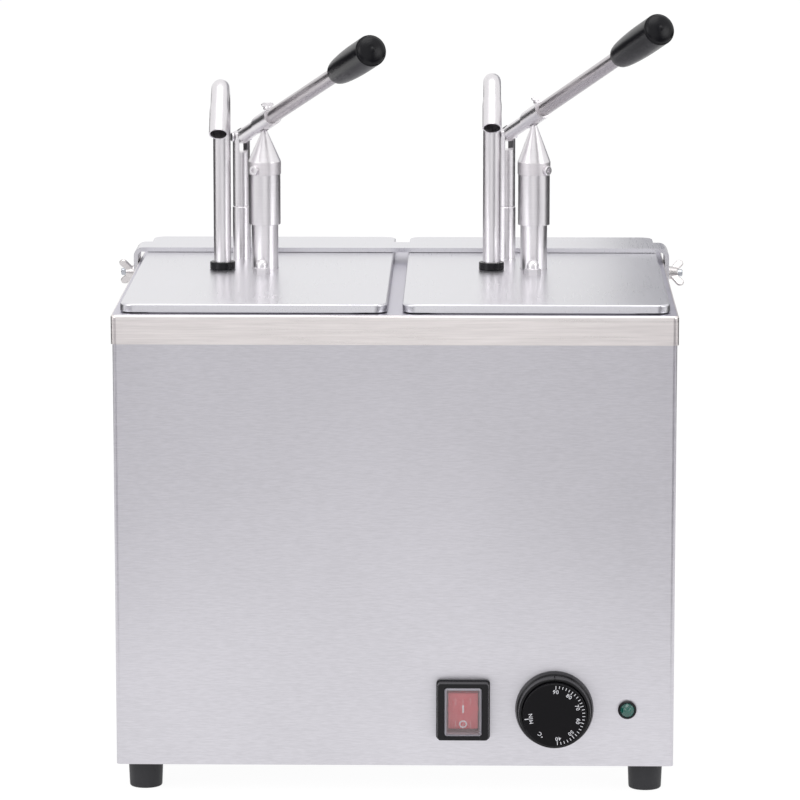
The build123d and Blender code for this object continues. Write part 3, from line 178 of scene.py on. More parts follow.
world = bpy.data.worlds.new("studio")
bpy.context.scene.world = world
world.use_nodes = True
sky = world.node_tree
sky.nodes.clear()
AIR_LIGHT = 0.55            # what the white room adds to matt surfaces; lens and steel see it full
level = add(sky, "ShaderNodeMapRange", Value=seen_or_mirrored(sky), To_Min=AIR_LIGHT, To_Max=1.0)
air = add(sky, "ShaderNodeBackground", Color=linear("#ffffff"), Strength=level.outputs[0])
out = sky.nodes.new("ShaderNodeOutputWorld")
sky.links.new(air.outputs[0], out.inputs["Surface"])

BOXES_AIM = Vector((0, 0, 0.25))
for name, place, size, power in (
    ("overhead_box", (0.0, -0.5, 2.2), 1.6, 16.0),
    ("left_box", (-1.7, -1.5, 1.2), 1.2, 10.0),
    ("right_box", (1.8, -1.2, 1.0), 1.0, 7.0),
):
    lamp = bpy.data.lights.new(name, "AREA")
    lamp.size = size
    lamp.energy = power
    held = bpy.data.objects.new(name, lamp)
    held.location = place
    held.rotation_euler = (BOXES_AIM - Vector(place)).to_track_quat("-Z", "Y").to_euler()
    bpy.context.scene.collection.objects.link(held)


# ---- Cabinet: casing, base, back and water tank ----
# Casing, deck and panels are 1 mm 304 stainless sheet with a belt-brushed
# number 4 finish; the belt runs level round every upright face. The deep-drawn
# tank and the base plate keep the mill's dull finish.
def noise(tree, scale, detail=2.0, rough=0.5, place=None):
    """Soft blotches over a piece's own surface, scale of them a metre."""
    place = place or add(tree, "ShaderNodeTexCoord").outputs["Object"]
    return add(tree, "ShaderNodeTexNoise", Vector=place, Scale=scale, Detail=detail,
               Roughness=rough).outputs[0]


def spread(tree, value, low, high, start=0.0, end=1.0):
    """A value that runs from start to end, made to run from low to high."""
    return add(tree, "ShaderNodeMapRange", Value=value, From_Min=start, From_Max=end,
               To_Min=low, To_Max=high).outputs[0]


CLOUDS = 9.0                # slow changes of tone, as many a metre
SCRATCH_DEEP = 0.0004


def stainless(name, tint, rough, grain, depth=0.06, turn=(0, 0, 0), swirl=0.0, tone=0.10, coat=0.0):
    """Bare or plated steel; grain is the scratches per metre across X, Y and Z once turned.

    depth is the scratches' bump, swirl stretches highlights along them, tone is how much
    they and the slow clouds darken the tint, and coat adds a clear sheen."""
    def shader(tree):
        place = add(tree, "ShaderNodeTexCoord").outputs["Object"]
        turned = add(tree, "ShaderNodeMapping", Vector=place, Rotation=turn).outputs[0]
        drawn = add(tree, "ShaderNodeMapping", Vector=turned, Scale=grain).outputs[0]
        scratch = noise(tree, 1.0, detail=3.0, rough=0.65, place=drawn)
        both = maths(tree, "MULTIPLY_ADD", noise(tree, CLOUDS, place=place), 0.5, scratch)
        shade = spread(tree, both, 1.0 - tone, 1.0 + tone / 2, start=0.5, end=1.0)
        grey = add(tree, "ShaderNodeVectorMath", {"operation": "SCALE"}, i0=linear(tint)[:3], Scale=shade)
        dull = spread(tree, both, rough * 0.82, rough * 1.2, start=0.4, end=1.1)
        bump = add(tree, "ShaderNodeBump", Height=scratch, Strength=depth, Distance=SCRATCH_DEEP).outputs[0]
        made = add(tree, "ShaderNodeBsdfPrincipled", Base_Color=grey.outputs[0], Metallic=1.0,
                   Roughness=dull, Normal=bump, Anisotropic=swirl, Coat_Weight=coat, Coat_Roughness=0.22)
        if swirl:
            way = add(tree, "ShaderNodeTangent", {"direction_type": "RADIAL", "axis": "Z"})
            tree.links.new(way.outputs[0], made.inputs["Tangent"])
        return made.outputs[0]
    return finish_named(name, shader)


FLAT = 0.99999              # cosine between two facets of one plane


def even_normals(mesh, sharp):
    """Corner normals that keep a flat stretch of sheet flat right up to its bends."""
    work = bmesh.new()
    work.from_mesh(mesh)
    work.faces.ensure_lookup_table()
    pull = {}
    for first in work.faces:
        if first.index in pull:
            continue
        patch = [first]
        pull[first.index] = 0.0
        for face in patch:
            for other in (f for edge in face.edges for f in edge.link_faces):
                if other.index not in pull and other.normal.dot(face.normal) > FLAT:
                    pull[other.index] = 0.0
                    patch.append(other)
        area = sum(face.calc_area() for face in patch)
        for face in patch:
            pull[face.index] = area
    near = math.cos(math.radians(sharp))
    normals = []
    for face in work.faces:
        for corner in face.loops:
            beside = [f for f in corner.vert.link_faces if f.normal.dot(face.normal) > near]
            total = sum((f.normal * pull[f.index] for f in beside), Vector())
            normals.append(total.normalized() if total.length else face.normal.copy())
    work.free()
    mesh.normals_split_custom_set(normals)


BODY_OF = {node: body for body, nodes in frame["record"]["behaviour"]["bodies"].items() for node in nodes}
FINE_ENOUGH = 30000         # faces from which plain smooth shading needs no help


def settle(name, mesh, material, body, *nodes, sharp=32.0):
    """Shade a mesh made in place, dress it, ride it on its body and stand it in for its CAD nodes.

    A body given as two bodies and two points rides on neither: the piece stays fixed where it is made."""
    mesh.shade_smooth()
    mesh.set_sharp_from_angle(angle=math.radians(sharp))
    if len(mesh.polygons) < FINE_ENOUGH:
        even_normals(mesh, sharp)
    mesh.materials.clear()
    mesh.materials.append(material)
    made = bpy.data.objects.new(name, mesh)
    bpy.context.scene.collection.objects.link(made)
    if isinstance(body, str):
        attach(made, body)
    else:
        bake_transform(made)
    if nodes:
        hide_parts(*nodes)
    return made


def faired(node, material, sharp=32.0, body=None):
    """The CAD node's own surface as one joined skin, so that its bends and rounds shade smoothly."""
    skin = bmesh.new()
    skin.from_mesh(frame["nodes"][node].data)
    bmesh.ops.remove_doubles(skin, verts=skin.verts, dist=1e-6)
    mesh = bpy.data.meshes.new(f"{node}_skin")
    skin.to_mesh(mesh)
    skin.free()
    return settle(f"{node}_skin", mesh, material, body or BODY_OF[node], node, sharp=sharp)


# Belt brushing leaves level hairlines and stretches highlights upright. The real
# lines are about 0.1 mm apart; they are drawn 0.8 mm apart here to stay visible.
brushed = stainless("stainless_belt_brushed", "#d5d3d9", 0.36, (150, 150, 1200), depth=0.05, swirl=0.6,
                    tone=0.11)
# The band's belt was coarser: long bright streaks, drawn 1.4 mm apart.
brushed_rim = stainless("stainless_belt_brushed_band", "#eee8e7", 0.30, (20, 20, 700), tone=0.16, swirl=0.5)
# Mill finish is dull and cloudy, with no direction to it.
mill = stainless("stainless_mill_finish", "#a5a4a8", 0.42, (60, 60, 60))
for node in ("outer_casing", "back_panel"):
    faired(node, brushed)
for node in ("base_plate", "water_tank"):
    faired(node, mill)
# The deck's top lies in the lids' shade, and that shade is painted into its tint: a darker grey than its band. It
# also has no streaks.
deck_top_painted_shade = stainless("stainless_deck_top_painted_shade", "#c4c1cc", 0.34, (60, 60, 60), tone=0.08)
deck = faired("top_deck", brushed_rim)
deck.data.materials.append(deck_top_painted_shade)
LEVEL = 0.9                 # normal.z above which a face belongs to the deck's top
# Faces that face up take the darker tint of painted shade; the rest keep the band's steel.
for face in deck.data.polygons:
    face.material_index = int(face.normal.z > LEVEL)


# ---- Heating element ----
# A nickel-alloy sheathed tube bent round the tank floor; heat turns its bright
# sheath straw and brown in patches.
def blotched(tree, scale, one, other, detail=2.0):
    """Two colours that pass into one another in blotches."""
    return add(tree, "ShaderNodeMix", {"data_type": "RGBA"}, i0=noise(tree, scale, detail=detail),
               i6=linear(one), i7=linear(other)).outputs[2]


def sheath_paint(tree):
    """Heat-tinted sheath: straw to brown patches, 20 mm or so across, on dull metal."""
    tint = blotched(tree, 45.0, "#7d7267", "#5a4a3e", detail=3.0)
    return add(tree, "ShaderNodeBsdfPrincipled", Base_Color=tint, Metallic=1.0, Roughness=0.38).outputs[0]


faired("heating_element", finish_named("nickel_alloy_heat_tinted", sheath_paint))

# ---- Fixings: panel screws, foot screws, bar studs ----
# Zinc-plated steel screws hold the back panel and the feet, each tightened to an
# angle of its own; the bar's studs are plated the same.
MM = 0.001
# The plating's fine crystals give a bright, slightly blue grey with no direction.
zinc = stainless("steel_zinc_plated", "#b9bcc2", 0.24, (700, 700, 700), depth=0.03, tone=0.06)


def mesh_of(name, work):
    """Close a bmesh's seams, turn its faces outward and keep it as a mesh."""
    bmesh.ops.remove_doubles(work, verts=work.verts, dist=1e-7)
    bmesh.ops.recalc_face_normals(work, faces=work.faces)
    mesh = bpy.data.meshes.new(name)
    work.to_mesh(mesh)
    work.free()
    return mesh


def rounded(profile, radius, closed, cuts=3):
    """(radius, height) outline in millimetres with its corners rounded."""
    points = [Vector(p) for p in profile]
    count = len(points)
    shaped = []
    for i, point in enumerate(points):
        if not closed and i in (0, count - 1):
            shaped.append(point)
            continue
        before, after = points[i - 1] - point, points[(i + 1) % count] - point
        reach = min(radius, before.length * 0.45, after.length * 0.45)
        start, end = point + before.normalized() * reach, point + after.normalized() * reach
        for k in range(cuts + 1):
            t = k / cuts
            shaped.append(start * (1 - t) ** 2 + point * 2 * t * (1 - t) + end * t ** 2)
    return shaped


def ringed(work, rings, closed):
    """Skin a list of equal rings of points; a ring of one point closes on it."""
    laid = [[work.verts.new(p) for p in ring] for ring in rings]
    spans = list(zip(laid, laid[1:] + laid[:1] if closed else laid[1:]))
    for low, high in spans:
        around = max(len(low), len(high))
        for k in range(around):
            n = (k + 1) % around
            if len(low) == 1:
                work.faces.new((low[0], high[n], high[k]))
            elif len(high) == 1:
                work.faces.new((low[k], low[n], high[0]))
            else:
                work.faces.new((low[k], low[n], high[n], high[k]))


def lathe(name, profile, place, radius=0.3, around=72):
    """Solid turned about its own Z from a (radius, height) outline in millimetres."""
    closed = profile[0][0] > 0
    rings = []
    for r, z in rounded(profile, radius, closed):
        if r < 1e-6:
            rings.append([place @ Vector((0, 0, z * MM))])
            continue
        angles = [2 * math.pi * k / around for k in range(around)]
        rings.append([place @ Vector((r * math.cos(a) * MM, r * math.sin(a) * MM, z * MM)) for a in angles])
    work = bmesh.new()
    ringed(work, rings, closed)
    return mesh_of(name, work)


def grown(name, tree, material, **sizes):
    """Run a geometry tree once with its named sizes and keep what it makes as a plain mesh."""
    seed = bpy.data.objects.new(name, bpy.data.meshes.new(name))
    bpy.context.scene.collection.objects.link(seed)
    made = seed.modifiers.new(name, "NODES")
    made.node_group = tree
    for item in tree.interface.items_tree:
        if item.in_out == "INPUT" and item.name in sizes:
            made[item.identifier] = sizes[item.name]
    bpy.context.view_layer.update()
    drawn = seed.evaluated_get(bpy.context.evaluated_depsgraph_get())
    mesh = bpy.data.meshes.new_from_object(drawn)
    bpy.data.objects.remove(seed)
    mesh.materials.clear()
    mesh.materials.append(material)
    return mesh


def tree_named(name, **sockets):
    """Empty geometry tree with named inputs, and its input and output nodes."""
    tree = bpy.data.node_groups.new(name, "GeometryNodeTree")
    tree.interface.new_socket("Geometry", in_out="OUTPUT", socket_type="NodeSocketGeometry")
    for label, kind in sockets.items():
        tree.interface.new_socket(label, in_out="INPUT", socket_type=f"NodeSocket{kind}")
    return tree, tree.nodes.new("NodeGroupInput").outputs, tree.nodes.new("NodeGroupOutput")


def finished_tree(tree, last, geometry, material):
    """Realise the instances and give them their material."""
    whole = add(tree, "GeometryNodeRealizeInstances", Geometry=geometry)
    dressed = add(tree, "GeometryNodeSetMaterial", Geometry=whole.outputs[0], Material=material)
    tree.links.new(dressed.outputs[0], last.inputs[0])
    return tree


def placed_copies(name, points, mesh, material, twist_axis, seed=0):
    """Copies of a small mesh at points, each turned by its own amount about one axis."""
    tree, asked, last = tree_named(name, Part="Object", Places="Object", Seed="Int")
    part = add(tree, "GeometryNodeObjectInfo", Object=asked["Part"]).outputs["Geometry"]
    spots = add(tree, "GeometryNodeObjectInfo", Object=asked["Places"]).outputs["Geometry"]
    full = tuple(2 * math.pi * v for v in twist_axis)
    turn = add(tree, "FunctionNodeRandomValue", {"data_type": "FLOAT_VECTOR"}, i0=(0, 0, 0), i1=full,
               Seed=asked["Seed"])
    set_out = add(tree, "GeometryNodeInstanceOnPoints", Points=spots, Instance=part,
                  Rotation=turn.outputs[0])
    finished_tree(tree, last, set_out.outputs[0], material)
    held = []
    for label, data in (("part", mesh), ("places", bpy.data.meshes.new("places"))):
        held.append(bpy.data.objects.new(f"{name}_{label}", data))
        bpy.context.scene.collection.objects.link(held[-1])
    held[1].data.from_pydata([tuple(p) for p in points], [], [])
    laid = grown(name, tree, material, Part=held[0], Places=held[1], Seed=seed)
    for done in held:
        bpy.data.objects.remove(done)
    return laid


def cut_by(mesh, *cutters):
    """Mesh with boxes of (width, depth, height, centre) taken out of it."""
    whole = bpy.data.objects.new("whole", mesh)
    bpy.context.scene.collection.objects.link(whole)
    tools = []
    for w, d, h, centre in cutters:
        work = bmesh.new()
        shape = Matrix.Translation(centre) @ Matrix.Diagonal((w, d, h, 1))
        bmesh.ops.create_cube(work, size=1.0, matrix=shape)
        tools.append(bpy.data.objects.new("tool", mesh_of("tool", work)))
        bpy.context.scene.collection.objects.link(tools[-1])
        slot = whole.modifiers.new("cut", "BOOLEAN")
        slot.object = tools[-1]
        slot.operation = "DIFFERENCE"
        slot.solver = "EXACT"
    bpy.context.view_layer.update()
    result = bpy.data.meshes.new_from_object(whole.evaluated_get(bpy.context.evaluated_depsgraph_get()))
    for done in (whole, *tools):
        bpy.data.objects.remove(done)
    return result


# Panel screws: pan head with a cross recess, then its shank.
HEAD_R, HEAD_EDGE, CROWN_R, HEAD_RISE = 3.8, 1.0, 2.2, 2.6
SHANK_R, SHANK_DEEP = 2.0, 7.0
CROSS_LONG, CROSS_WIDE, CROSS_DEEP = 0.004, 0.0009, 0.0024
screws_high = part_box("cabinet_screws")[1]
back_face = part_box("back_panel")[1].y
panel_x = screws_high.x - HEAD_R * MM
panel_top = screws_high.z - HEAD_R * MM
panel_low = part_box("outer_casing")[0].z + 0.022
facing_back = Matrix.Rotation(math.radians(-90), 4, "X")
screw_mesh = lathe("panel_screw", [
    (0, HEAD_RISE), (CROWN_R, HEAD_RISE), (HEAD_R, HEAD_EDGE), (HEAD_R, 0), (SHANK_R, 0),
    (SHANK_R, -SHANK_DEEP), (0, -SHANK_DEEP)], facing_back, radius=0.9, around=28)
cross_at = (0, CROSS_DEEP, 0)
screw_mesh = cut_by(screw_mesh, (CROSS_LONG, CROSS_DEEP, CROSS_WIDE, cross_at),
                    (CROSS_WIDE, CROSS_DEEP, CROSS_LONG, cross_at))
panel_heights = (panel_low, (panel_low + panel_top) / 2, panel_top)
panel_points = [(sx * panel_x, back_face, z) for sx in (-1, 1) for z in panel_heights]
fixings = placed_copies("panel_screws", panel_points, screw_mesh, zinc, (0, 1, 0), seed=3)

# Foot screws: slotted head up inside the foot, shank through it, nut on the base.
FOOT_R = 11.6
FOOT_HEAD_R, FOOT_HEAD_LOW, FOOT_HEAD_HIGH = 4.5, 10.1, 13.5
FOOT_SHANK_R, FOOT_SHANK_HIGH = 2.5, 25.5
NUT_R, NUT_LOW, NUT_HIGH = 4.0, 20.5, 24.5
SLOT_LONG, SLOT_WIDE, SLOT_DEEP = 0.010, 0.0012, 0.002
foot_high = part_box("feet")[1]
foot_x, foot_y = foot_high.x - FOOT_R * MM, foot_high.y - FOOT_R * MM
foot_points = [(sx * foot_x, sy * foot_y, 0) for sx in (-1, 1) for sy in (-1, 1)]
foot_screw = lathe("foot_screw", [
    (0, FOOT_HEAD_LOW), (FOOT_HEAD_R, FOOT_HEAD_LOW), (FOOT_HEAD_R, FOOT_HEAD_HIGH),
    (FOOT_SHANK_R, FOOT_HEAD_HIGH), (FOOT_SHANK_R, NUT_LOW), (NUT_R, NUT_LOW), (NUT_R, NUT_HIGH),
    (FOOT_SHANK_R, NUT_HIGH), (FOOT_SHANK_R, FOOT_SHANK_HIGH), (0, FOOT_SHANK_HIGH)],
    Matrix(), radius=0.4, around=24)
slot_at = (0, 0, FOOT_HEAD_LOW * MM)
foot_screw = cut_by(foot_screw, (SLOT_LONG, SLOT_WIDE, SLOT_DEEP, slot_at))
under = placed_copies("foot_screws", foot_points, foot_screw, zinc, (0, 0, 1), seed=5)
both = bmesh.new()
both.from_mesh(fixings)
both.from_mesh(under)
joined = bpy.data.meshes.new("cabinet_screws_set")
both.to_mesh(joined)
both.free()
settle("cabinet_screws_set", joined, zinc, "root", "cabinet_screws", sharp=40)
faired("bar_studs", zinc)

# ---- Feet ----
# Four feet moulded in black rubber, tapered so that they leave the mould, with a
# recess below for the screw that holds each one.
def plastic(name, tint, rough, pitch=1400.0, depth=0.05, coat=0.0, shine=0.5):
    """Moulded plastic or rubber with a fine spark-eroded texture, pitch bumps a metre."""
    def shader(tree):
        stipple = noise(tree, pitch)
        dull = spread(tree, stipple, rough * 0.85, rough * 1.15)
        bump = add(tree, "ShaderNodeBump", Height=stipple, Strength=depth, Distance=0.0003).outputs[0]
        return add(tree, "ShaderNodeBsdfPrincipled", Base_Color=linear(tint), Roughness=dull, Normal=bump,
                   Coat_Weight=coat, Coat_Roughness=0.05, Specular_IOR_Level=shine).outputs[0]
    return finish_named(name, shader)


# Rubber takes the mould's blasted texture: grey-black, with no clear highlight.
rubber = plastic("rubber_black_moulded", "#26262a", 0.55, pitch=900.0, depth=0.1)
FOOT_HIGH, FOOT_SOLE_R = 19.5, 10.8
RECESS_R, SCREW_HOLE_R = 5.5, 2.6
foot_mesh = lathe("foot", [
    (RECESS_R, 0), (FOOT_SOLE_R, 0), (FOOT_R, FOOT_HIGH), (SCREW_HOLE_R, FOOT_HIGH),
    (SCREW_HOLE_R, FOOT_HEAD_HIGH), (RECESS_R, FOOT_HEAD_HIGH)], Matrix(), radius=1.2, around=56)
feet = placed_copies("feet_set", foot_points, foot_mesh, rubber, (0, 0, 0))
settle("feet_set", feet, rubber, "root", "feet")

# ---- Cord gland ----
# Black moulded compression gland screwed into the back panel, hexagonal so that
# a spanner can hold it.
#
# Moulded against polished steel: black, with small sharp-edged highlights.
black = plastic("abs_black_moulded", "#100f13", 0.28, shine=0.25, depth=0.03)
faired("cord_gland", black)

# ---- Thermostat ----
# Zinc-plated switch box and capillary inside the cabinet; the dial in front is
# a moulded black disc that turns inside a fixed two-tier bezel.
faired("thermostat_body", zinc)
faired("thermostat_spindle", zinc)
faired("dial_bezel", black, sharp=25)
KNOB_R, KNOB_BORE = 21.2, 19.0
KNOB_DEEP, KNOB_FACE = 13.0, 2.2        # whole depth and the face's own thickness
HUB_R, SPINDLE_R, SPINDLE_END = 6.0, 3.02, 3.9
knob_low, knob_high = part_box("thermostat_knob")
dial_at = Vector(((knob_low.x + knob_high.x) / 2, knob_low.y, (knob_low.z + knob_high.z) / 2))
facing_front = Matrix.Translation(dial_at) @ Matrix.Rotation(math.radians(90), 4, "X")
dial_mesh = lathe("dial", [
    (0, 0), (KNOB_R, 0), (KNOB_R, -KNOB_DEEP), (KNOB_BORE, -KNOB_DEEP), (KNOB_BORE, -KNOB_FACE),
    (HUB_R, -KNOB_FACE), (HUB_R, -KNOB_DEEP), (SPINDLE_R, -KNOB_DEEP), (SPINDLE_R, -SPINDLE_END),
    (0, -SPINDLE_END)], facing_front, radius=0.8, around=120)
# Spark-eroded moulding: a deep black that spreads the light, so the print stands out.
dial_black = plastic("abs_black_dial", "#0f0e11", 0.40, pitch=1100.0, depth=0.06, shine=0.12)
settle("dial", dial_mesh, dial_black, "knob", "thermostat_knob")
# Pad-printed ink: a flat white film, faintly grained by the plastic under it.
ink = plastic("ink_white_printed", "#e9e9ee", 0.5, pitch=2600.0, depth=0.02)
INK_THICK = 0.05
MAIN_LONGER = 0.45          # every fifth stroke is longer by this share
CAP_SHARE = 0.7             # a capital's height as a share of the font's size
INK_SPREAD = 0.00002        # how far the ink runs past a letter's outline


def tick_ring():
    """Printed strokes round part of a circle, every fifth one longer."""
    tree, asked, last = tree_named("dial_ticks", Count="Int", Radius="Float", First="Float", Step="Float",
                                   Length="Float", Width="Float", Thickness="Float")
    dots = add(tree, "GeometryNodeMeshLine", Count=asked["Count"]).outputs[0]
    index = add(tree, "GeometryNodeInputIndex").outputs[0]
    angle = maths(tree, "MULTIPLY_ADD", index, asked["Step"], asked["First"])
    main = maths(tree, "LESS_THAN", maths(tree, "MODULO", index, 5.0), 0.5)
    stretch = maths(tree, "MULTIPLY_ADD", main, MAIN_LONGER, 1.0)
    half = maths(tree, "MULTIPLY", maths(tree, "MULTIPLY", stretch, asked["Length"]), 0.5)
    reach = maths(tree, "SUBTRACT", asked["Radius"], half)
    spot = add(tree, "ShaderNodeCombineXYZ", X=maths(tree, "MULTIPLY", maths(tree, "SINE", angle), reach),
               Y=maths(tree, "MULTIPLY", maths(tree, "COSINE", angle), reach))
    laid = add(tree, "GeometryNodeSetPosition", Geometry=dots, Position=spot.outputs[0])
    turn = add(tree, "ShaderNodeCombineXYZ", Z=maths(tree, "MULTIPLY", angle, -1.0))
    size = add(tree, "ShaderNodeCombineXYZ", X=asked["Width"], Y=asked["Length"], Z=asked["Thickness"])
    stroke = add(tree, "GeometryNodeMeshCube", Size=size.outputs[0])
    scale = add(tree, "ShaderNodeCombineXYZ", X=1.0, Y=stretch, Z=1.0)
    ring = add(tree, "GeometryNodeInstanceOnPoints", Points=laid.outputs[0], Instance=stroke.outputs[0],
               Rotation=turn.outputs[0], Scale=scale.outputs[0])
    return finished_tree(tree, last, ring.outputs[0], ink)


def printed(text, height, where, turn, gap):
    """Mesh of printed characters, centred at (across, up) on a face and turned clockwise."""
    curve = bpy.data.curves.new("print", "FONT")
    curve.body = text
    curve.size = height * MM / CAP_SHARE
    curve.align_x = "CENTER"
    curve.align_y = "CENTER"
    curve.extrude = INK_THICK * MM / 2
    curve.offset = INK_SPREAD
    curve.space_character = gap
    held = bpy.data.objects.new("print", curve)
    bpy.context.scene.collection.objects.link(held)
    bpy.context.view_layer.update()
    mesh = bpy.data.meshes.new_from_object(held.evaluated_get(bpy.context.evaluated_depsgraph_get()))
    bpy.data.objects.remove(held)
    mesh.transform(Matrix.Translation((where[0] * MM, where[1] * MM, 0)) @ Matrix.Rotation(-turn, 4, "Z"))
    return mesh


MARK_R = 20.0               # outer ends of the strokes
NUMBER_R, NUMBER_HIGH, NUMBER_GAP = 15.7, 2.5, 1.15
FIRST_DEG, STEP_DEG, STROKES = 2.0, 6.9, 26
UNIT_DEG, LEAST_DEG = 215.0, 262.0
NUMBER_DRIFT = 0.6          # degrees by which each number falls further behind its stroke
stroke = {"Radius": MARK_R * MM, "Thickness": INK_THICK * MM}
marks = bmesh.new()
marks.from_mesh(grown("dial_ticks", tick_ring(), ink, Count=STROKES, First=math.radians(FIRST_DEG),
                      Step=math.radians(STEP_DEG), Length=0.0018, Width=0.00042, **stroke))
marks.from_mesh(grown("dial_least", tick_ring(), ink, Count=1, First=math.radians(LEAST_DEG),
                      Step=0.0, Length=0.0019, Width=0.00055, **stroke))
labels = [(str(90 - 10 * k), FIRST_DEG + 5 * STEP_DEG * k - NUMBER_DRIFT * k) for k in range(6)]
for words, degrees in labels + [("°C", UNIT_DEG), ("MIN", LEAST_DEG)]:
    a = math.radians(degrees)
    centre = (NUMBER_R * math.sin(a), NUMBER_R * math.cos(a))
    marks.from_mesh(printed(words, NUMBER_HIGH, centre, a, NUMBER_GAP))
mark_mesh = bpy.data.meshes.new("dial_marks")
marks.to_mesh(mark_mesh)
marks.free()
mark_mesh.transform(facing_front @ Matrix.Translation((0, 0, INK_THICK * MM / 4)))
settle("dial_marks", mark_mesh, ink, "knob")

# ---- Switch ----
# Sealed rocker switch: a black moulded bezel, a red rocker and a clear soft
# cap with finger ribs, clipped over it to keep splashes out.
faired("switch_housing", black, sharp=25)
# Polished mould, translucent grade: a bright red under a clear gloss.
red = plastic("polycarbonate_red_moulded", "#cb3a45", 0.25, coat=0.3)
ROCKER_TILT = math.radians(9.0)
ROCKER_HALF_W, ROCKER_HALF_H, ROCKER_BACK = 9.8, 13.2, -2.2
ROCKER_EDGE, PEG_R, PEG_REACH = 0.0004, 0.0015, 10.8
VALLEY_UP, BROW_UP = 6.6, 12.6          # the finger valley runs across high on the face
FACE_LOW, FACE_VALLEY, FACE_HIGH = 3.3, 2.4, 3.55       # how far the face stands out, foot to head
rock = next(j for j in frame["joints"] if j["name"] == "switch_rock")
rocker_face = (Matrix.Translation(rock["pos_m"]) @ Matrix.Rotation(math.radians(90), 4, "X")
               @ Matrix.Rotation(ROCKER_TILT, 4, "X"))
outline = rounded([
    (-ROCKER_HALF_H, ROCKER_BACK), (-ROCKER_HALF_H, FACE_LOW), (VALLEY_UP, FACE_VALLEY),
    (BROW_UP, FACE_HIGH), (ROCKER_HALF_H, ROCKER_BACK)], 0.9, True)
rocker = bmesh.new()
ends = [[rocker.verts.new((x * MM, up * MM, out * MM)) for up, out in outline]
        for x in (-ROCKER_HALF_W, ROCKER_HALF_W)]
caps = [rocker.faces.new(ends[0]), rocker.faces.new(ends[1][::-1])]
for k in range(len(outline)):
    rocker.faces.new((ends[0][k - 1], ends[1][k - 1], ends[1][k], ends[0][k]))
rims = list({edge for cap in caps for edge in cap.edges})
bmesh.ops.bevel(rocker, geom=rims, offset=ROCKER_EDGE, segments=2, affect="EDGES")
bmesh.ops.create_cone(rocker, cap_ends=True, segments=24, radius1=PEG_R, radius2=PEG_R,
                      depth=2 * PEG_REACH * MM, matrix=Matrix.Rotation(math.radians(90), 4, "Y"))
rocker.transform(rocker_face)
settle("rocker", mesh_of("rocker", rocker), red, "rocker", "switch_rocker", sharp=14)
FACE_LEAN = math.atan2(FACE_LOW - FACE_VALLEY, ROCKER_HALF_H + VALLEY_UP)
MARK_LIFT = 2.75            # the marks' height over the pivot where the face crosses it


def on_rocker(up):
    """Place on the rocker's long face, that many millimetres above its pivot."""
    out = MARK_LIFT - math.tan(FACE_LEAN) * up
    return rocker_face @ Matrix.Translation((0, up * MM, out * MM)) @ Matrix.Rotation(-FACE_LEAN, 4, "X")


ON_UP, OFF_UP = 0.9, -9.6
BAR_WIDE, BAR_TALL, BAR_THICK = 0.0011, 0.0054, 0.0001
RING_IN, RING_OUT, RING_HALF = 1.7, 2.7, 0.05
bar = bmesh.new()
bar_shape = Matrix.Diagonal((BAR_WIDE, BAR_TALL, BAR_THICK, 1))
bmesh.ops.create_cube(bar, size=1.0, matrix=on_rocker(ON_UP) @ bar_shape)
bmesh.ops.bevel(bar, geom=bar.edges[:], offset=BAR_THICK * 0.3, segments=1, affect="EDGES")
settle("switch_on_mark", mesh_of("switch_on_mark", bar), ink, "rocker")
settle("switch_off_mark", lathe("switch_off_mark", [
    (RING_IN, -RING_HALF), (RING_OUT, -RING_HALF), (RING_OUT, RING_HALF), (RING_IN, RING_HALF)],
    on_rocker(OFF_UP), radius=0.03, around=48), ink, "rocker")


def vinyl(name, tint, cover):
    """Clear soft vinyl; cover is how much of what lies under it is hidden."""
    def shader(tree):
        cloud = noise(tree, 300.0)
        haze = spread(tree, cloud, 0.05, 0.12)
        bump = add(tree, "ShaderNodeBump", Height=cloud, Strength=0.08, Distance=0.0004).outputs[0]
        return add(tree, "ShaderNodeBsdfPrincipled", Base_Color=linear(tint), Roughness=haze, Normal=bump,
                   Alpha=cover).outputs[0]
    return finish_named(name, shader)


# Dip-moulded vinyl: glossy and faintly cloudy, a thin haze over the red.
clear = vinyl("vinyl_clear_moulded", "#f2d9dc", 0.12)
# The same vinyl on the cap's sides: a milky grey rim. It is partly the vinyl's haze seen through its depth, and
# partly a painted sheen that stands in for the glancing reflection along the cap's edges.
wall = vinyl("vinyl_clear_edge_haze_and_painted_sheen", "#c9c6d0", 0.55)
cover = faired("switch_cover", clear)
cover.data.materials.append(wall)
FACING = 0.95               # |normal.y| from which a face belongs to the cap's window
# Faces turned away from the front take the milky rim, with its painted edge sheen.
for face in cover.data.polygons:
    face.material_index = int(abs(face.normal.y) < FACING)
cover_low, cover_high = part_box("switch_cover")
cover_mid = (cover_low + cover_high) / 2
RIB_PITCH, RIB_WIDE, RIB_DEEP = 0.0049, 0.0008, 0.0009
RIB_PROUD = 0.00005         # how far the ribs' middle stands before the cap's face
RIB_SPANS = ((7.6, 5.0), (-8.2, 6.0))   # height over the cap's middle, and length
ribs = bmesh.new()
for column in (-1, 0, 1):
    for up, tall in RIB_SPANS:
        middle = Vector((cover_mid.x + column * RIB_PITCH, cover_low.y - RIB_PROUD, cover_mid.z + up * MM))
        shape = Matrix.Translation(middle) @ Matrix.Diagonal((RIB_WIDE, RIB_DEEP, tall * MM, 1))
        bmesh.ops.create_cube(ribs, size=1.0, matrix=shape)
bmesh.ops.bevel(ribs, geom=ribs.edges[:], offset=0.0003, segments=2, affect="EDGES")
settle("switch_cover_ribs", mesh_of("switch_cover_ribs", ribs), clear, "root")

# ---- Indicator lamp ----
# Black bezel pressed through the front and a green polycarbonate lens, cut in
# rings of facets that throw the light about.
faired("lamp_housing", black)


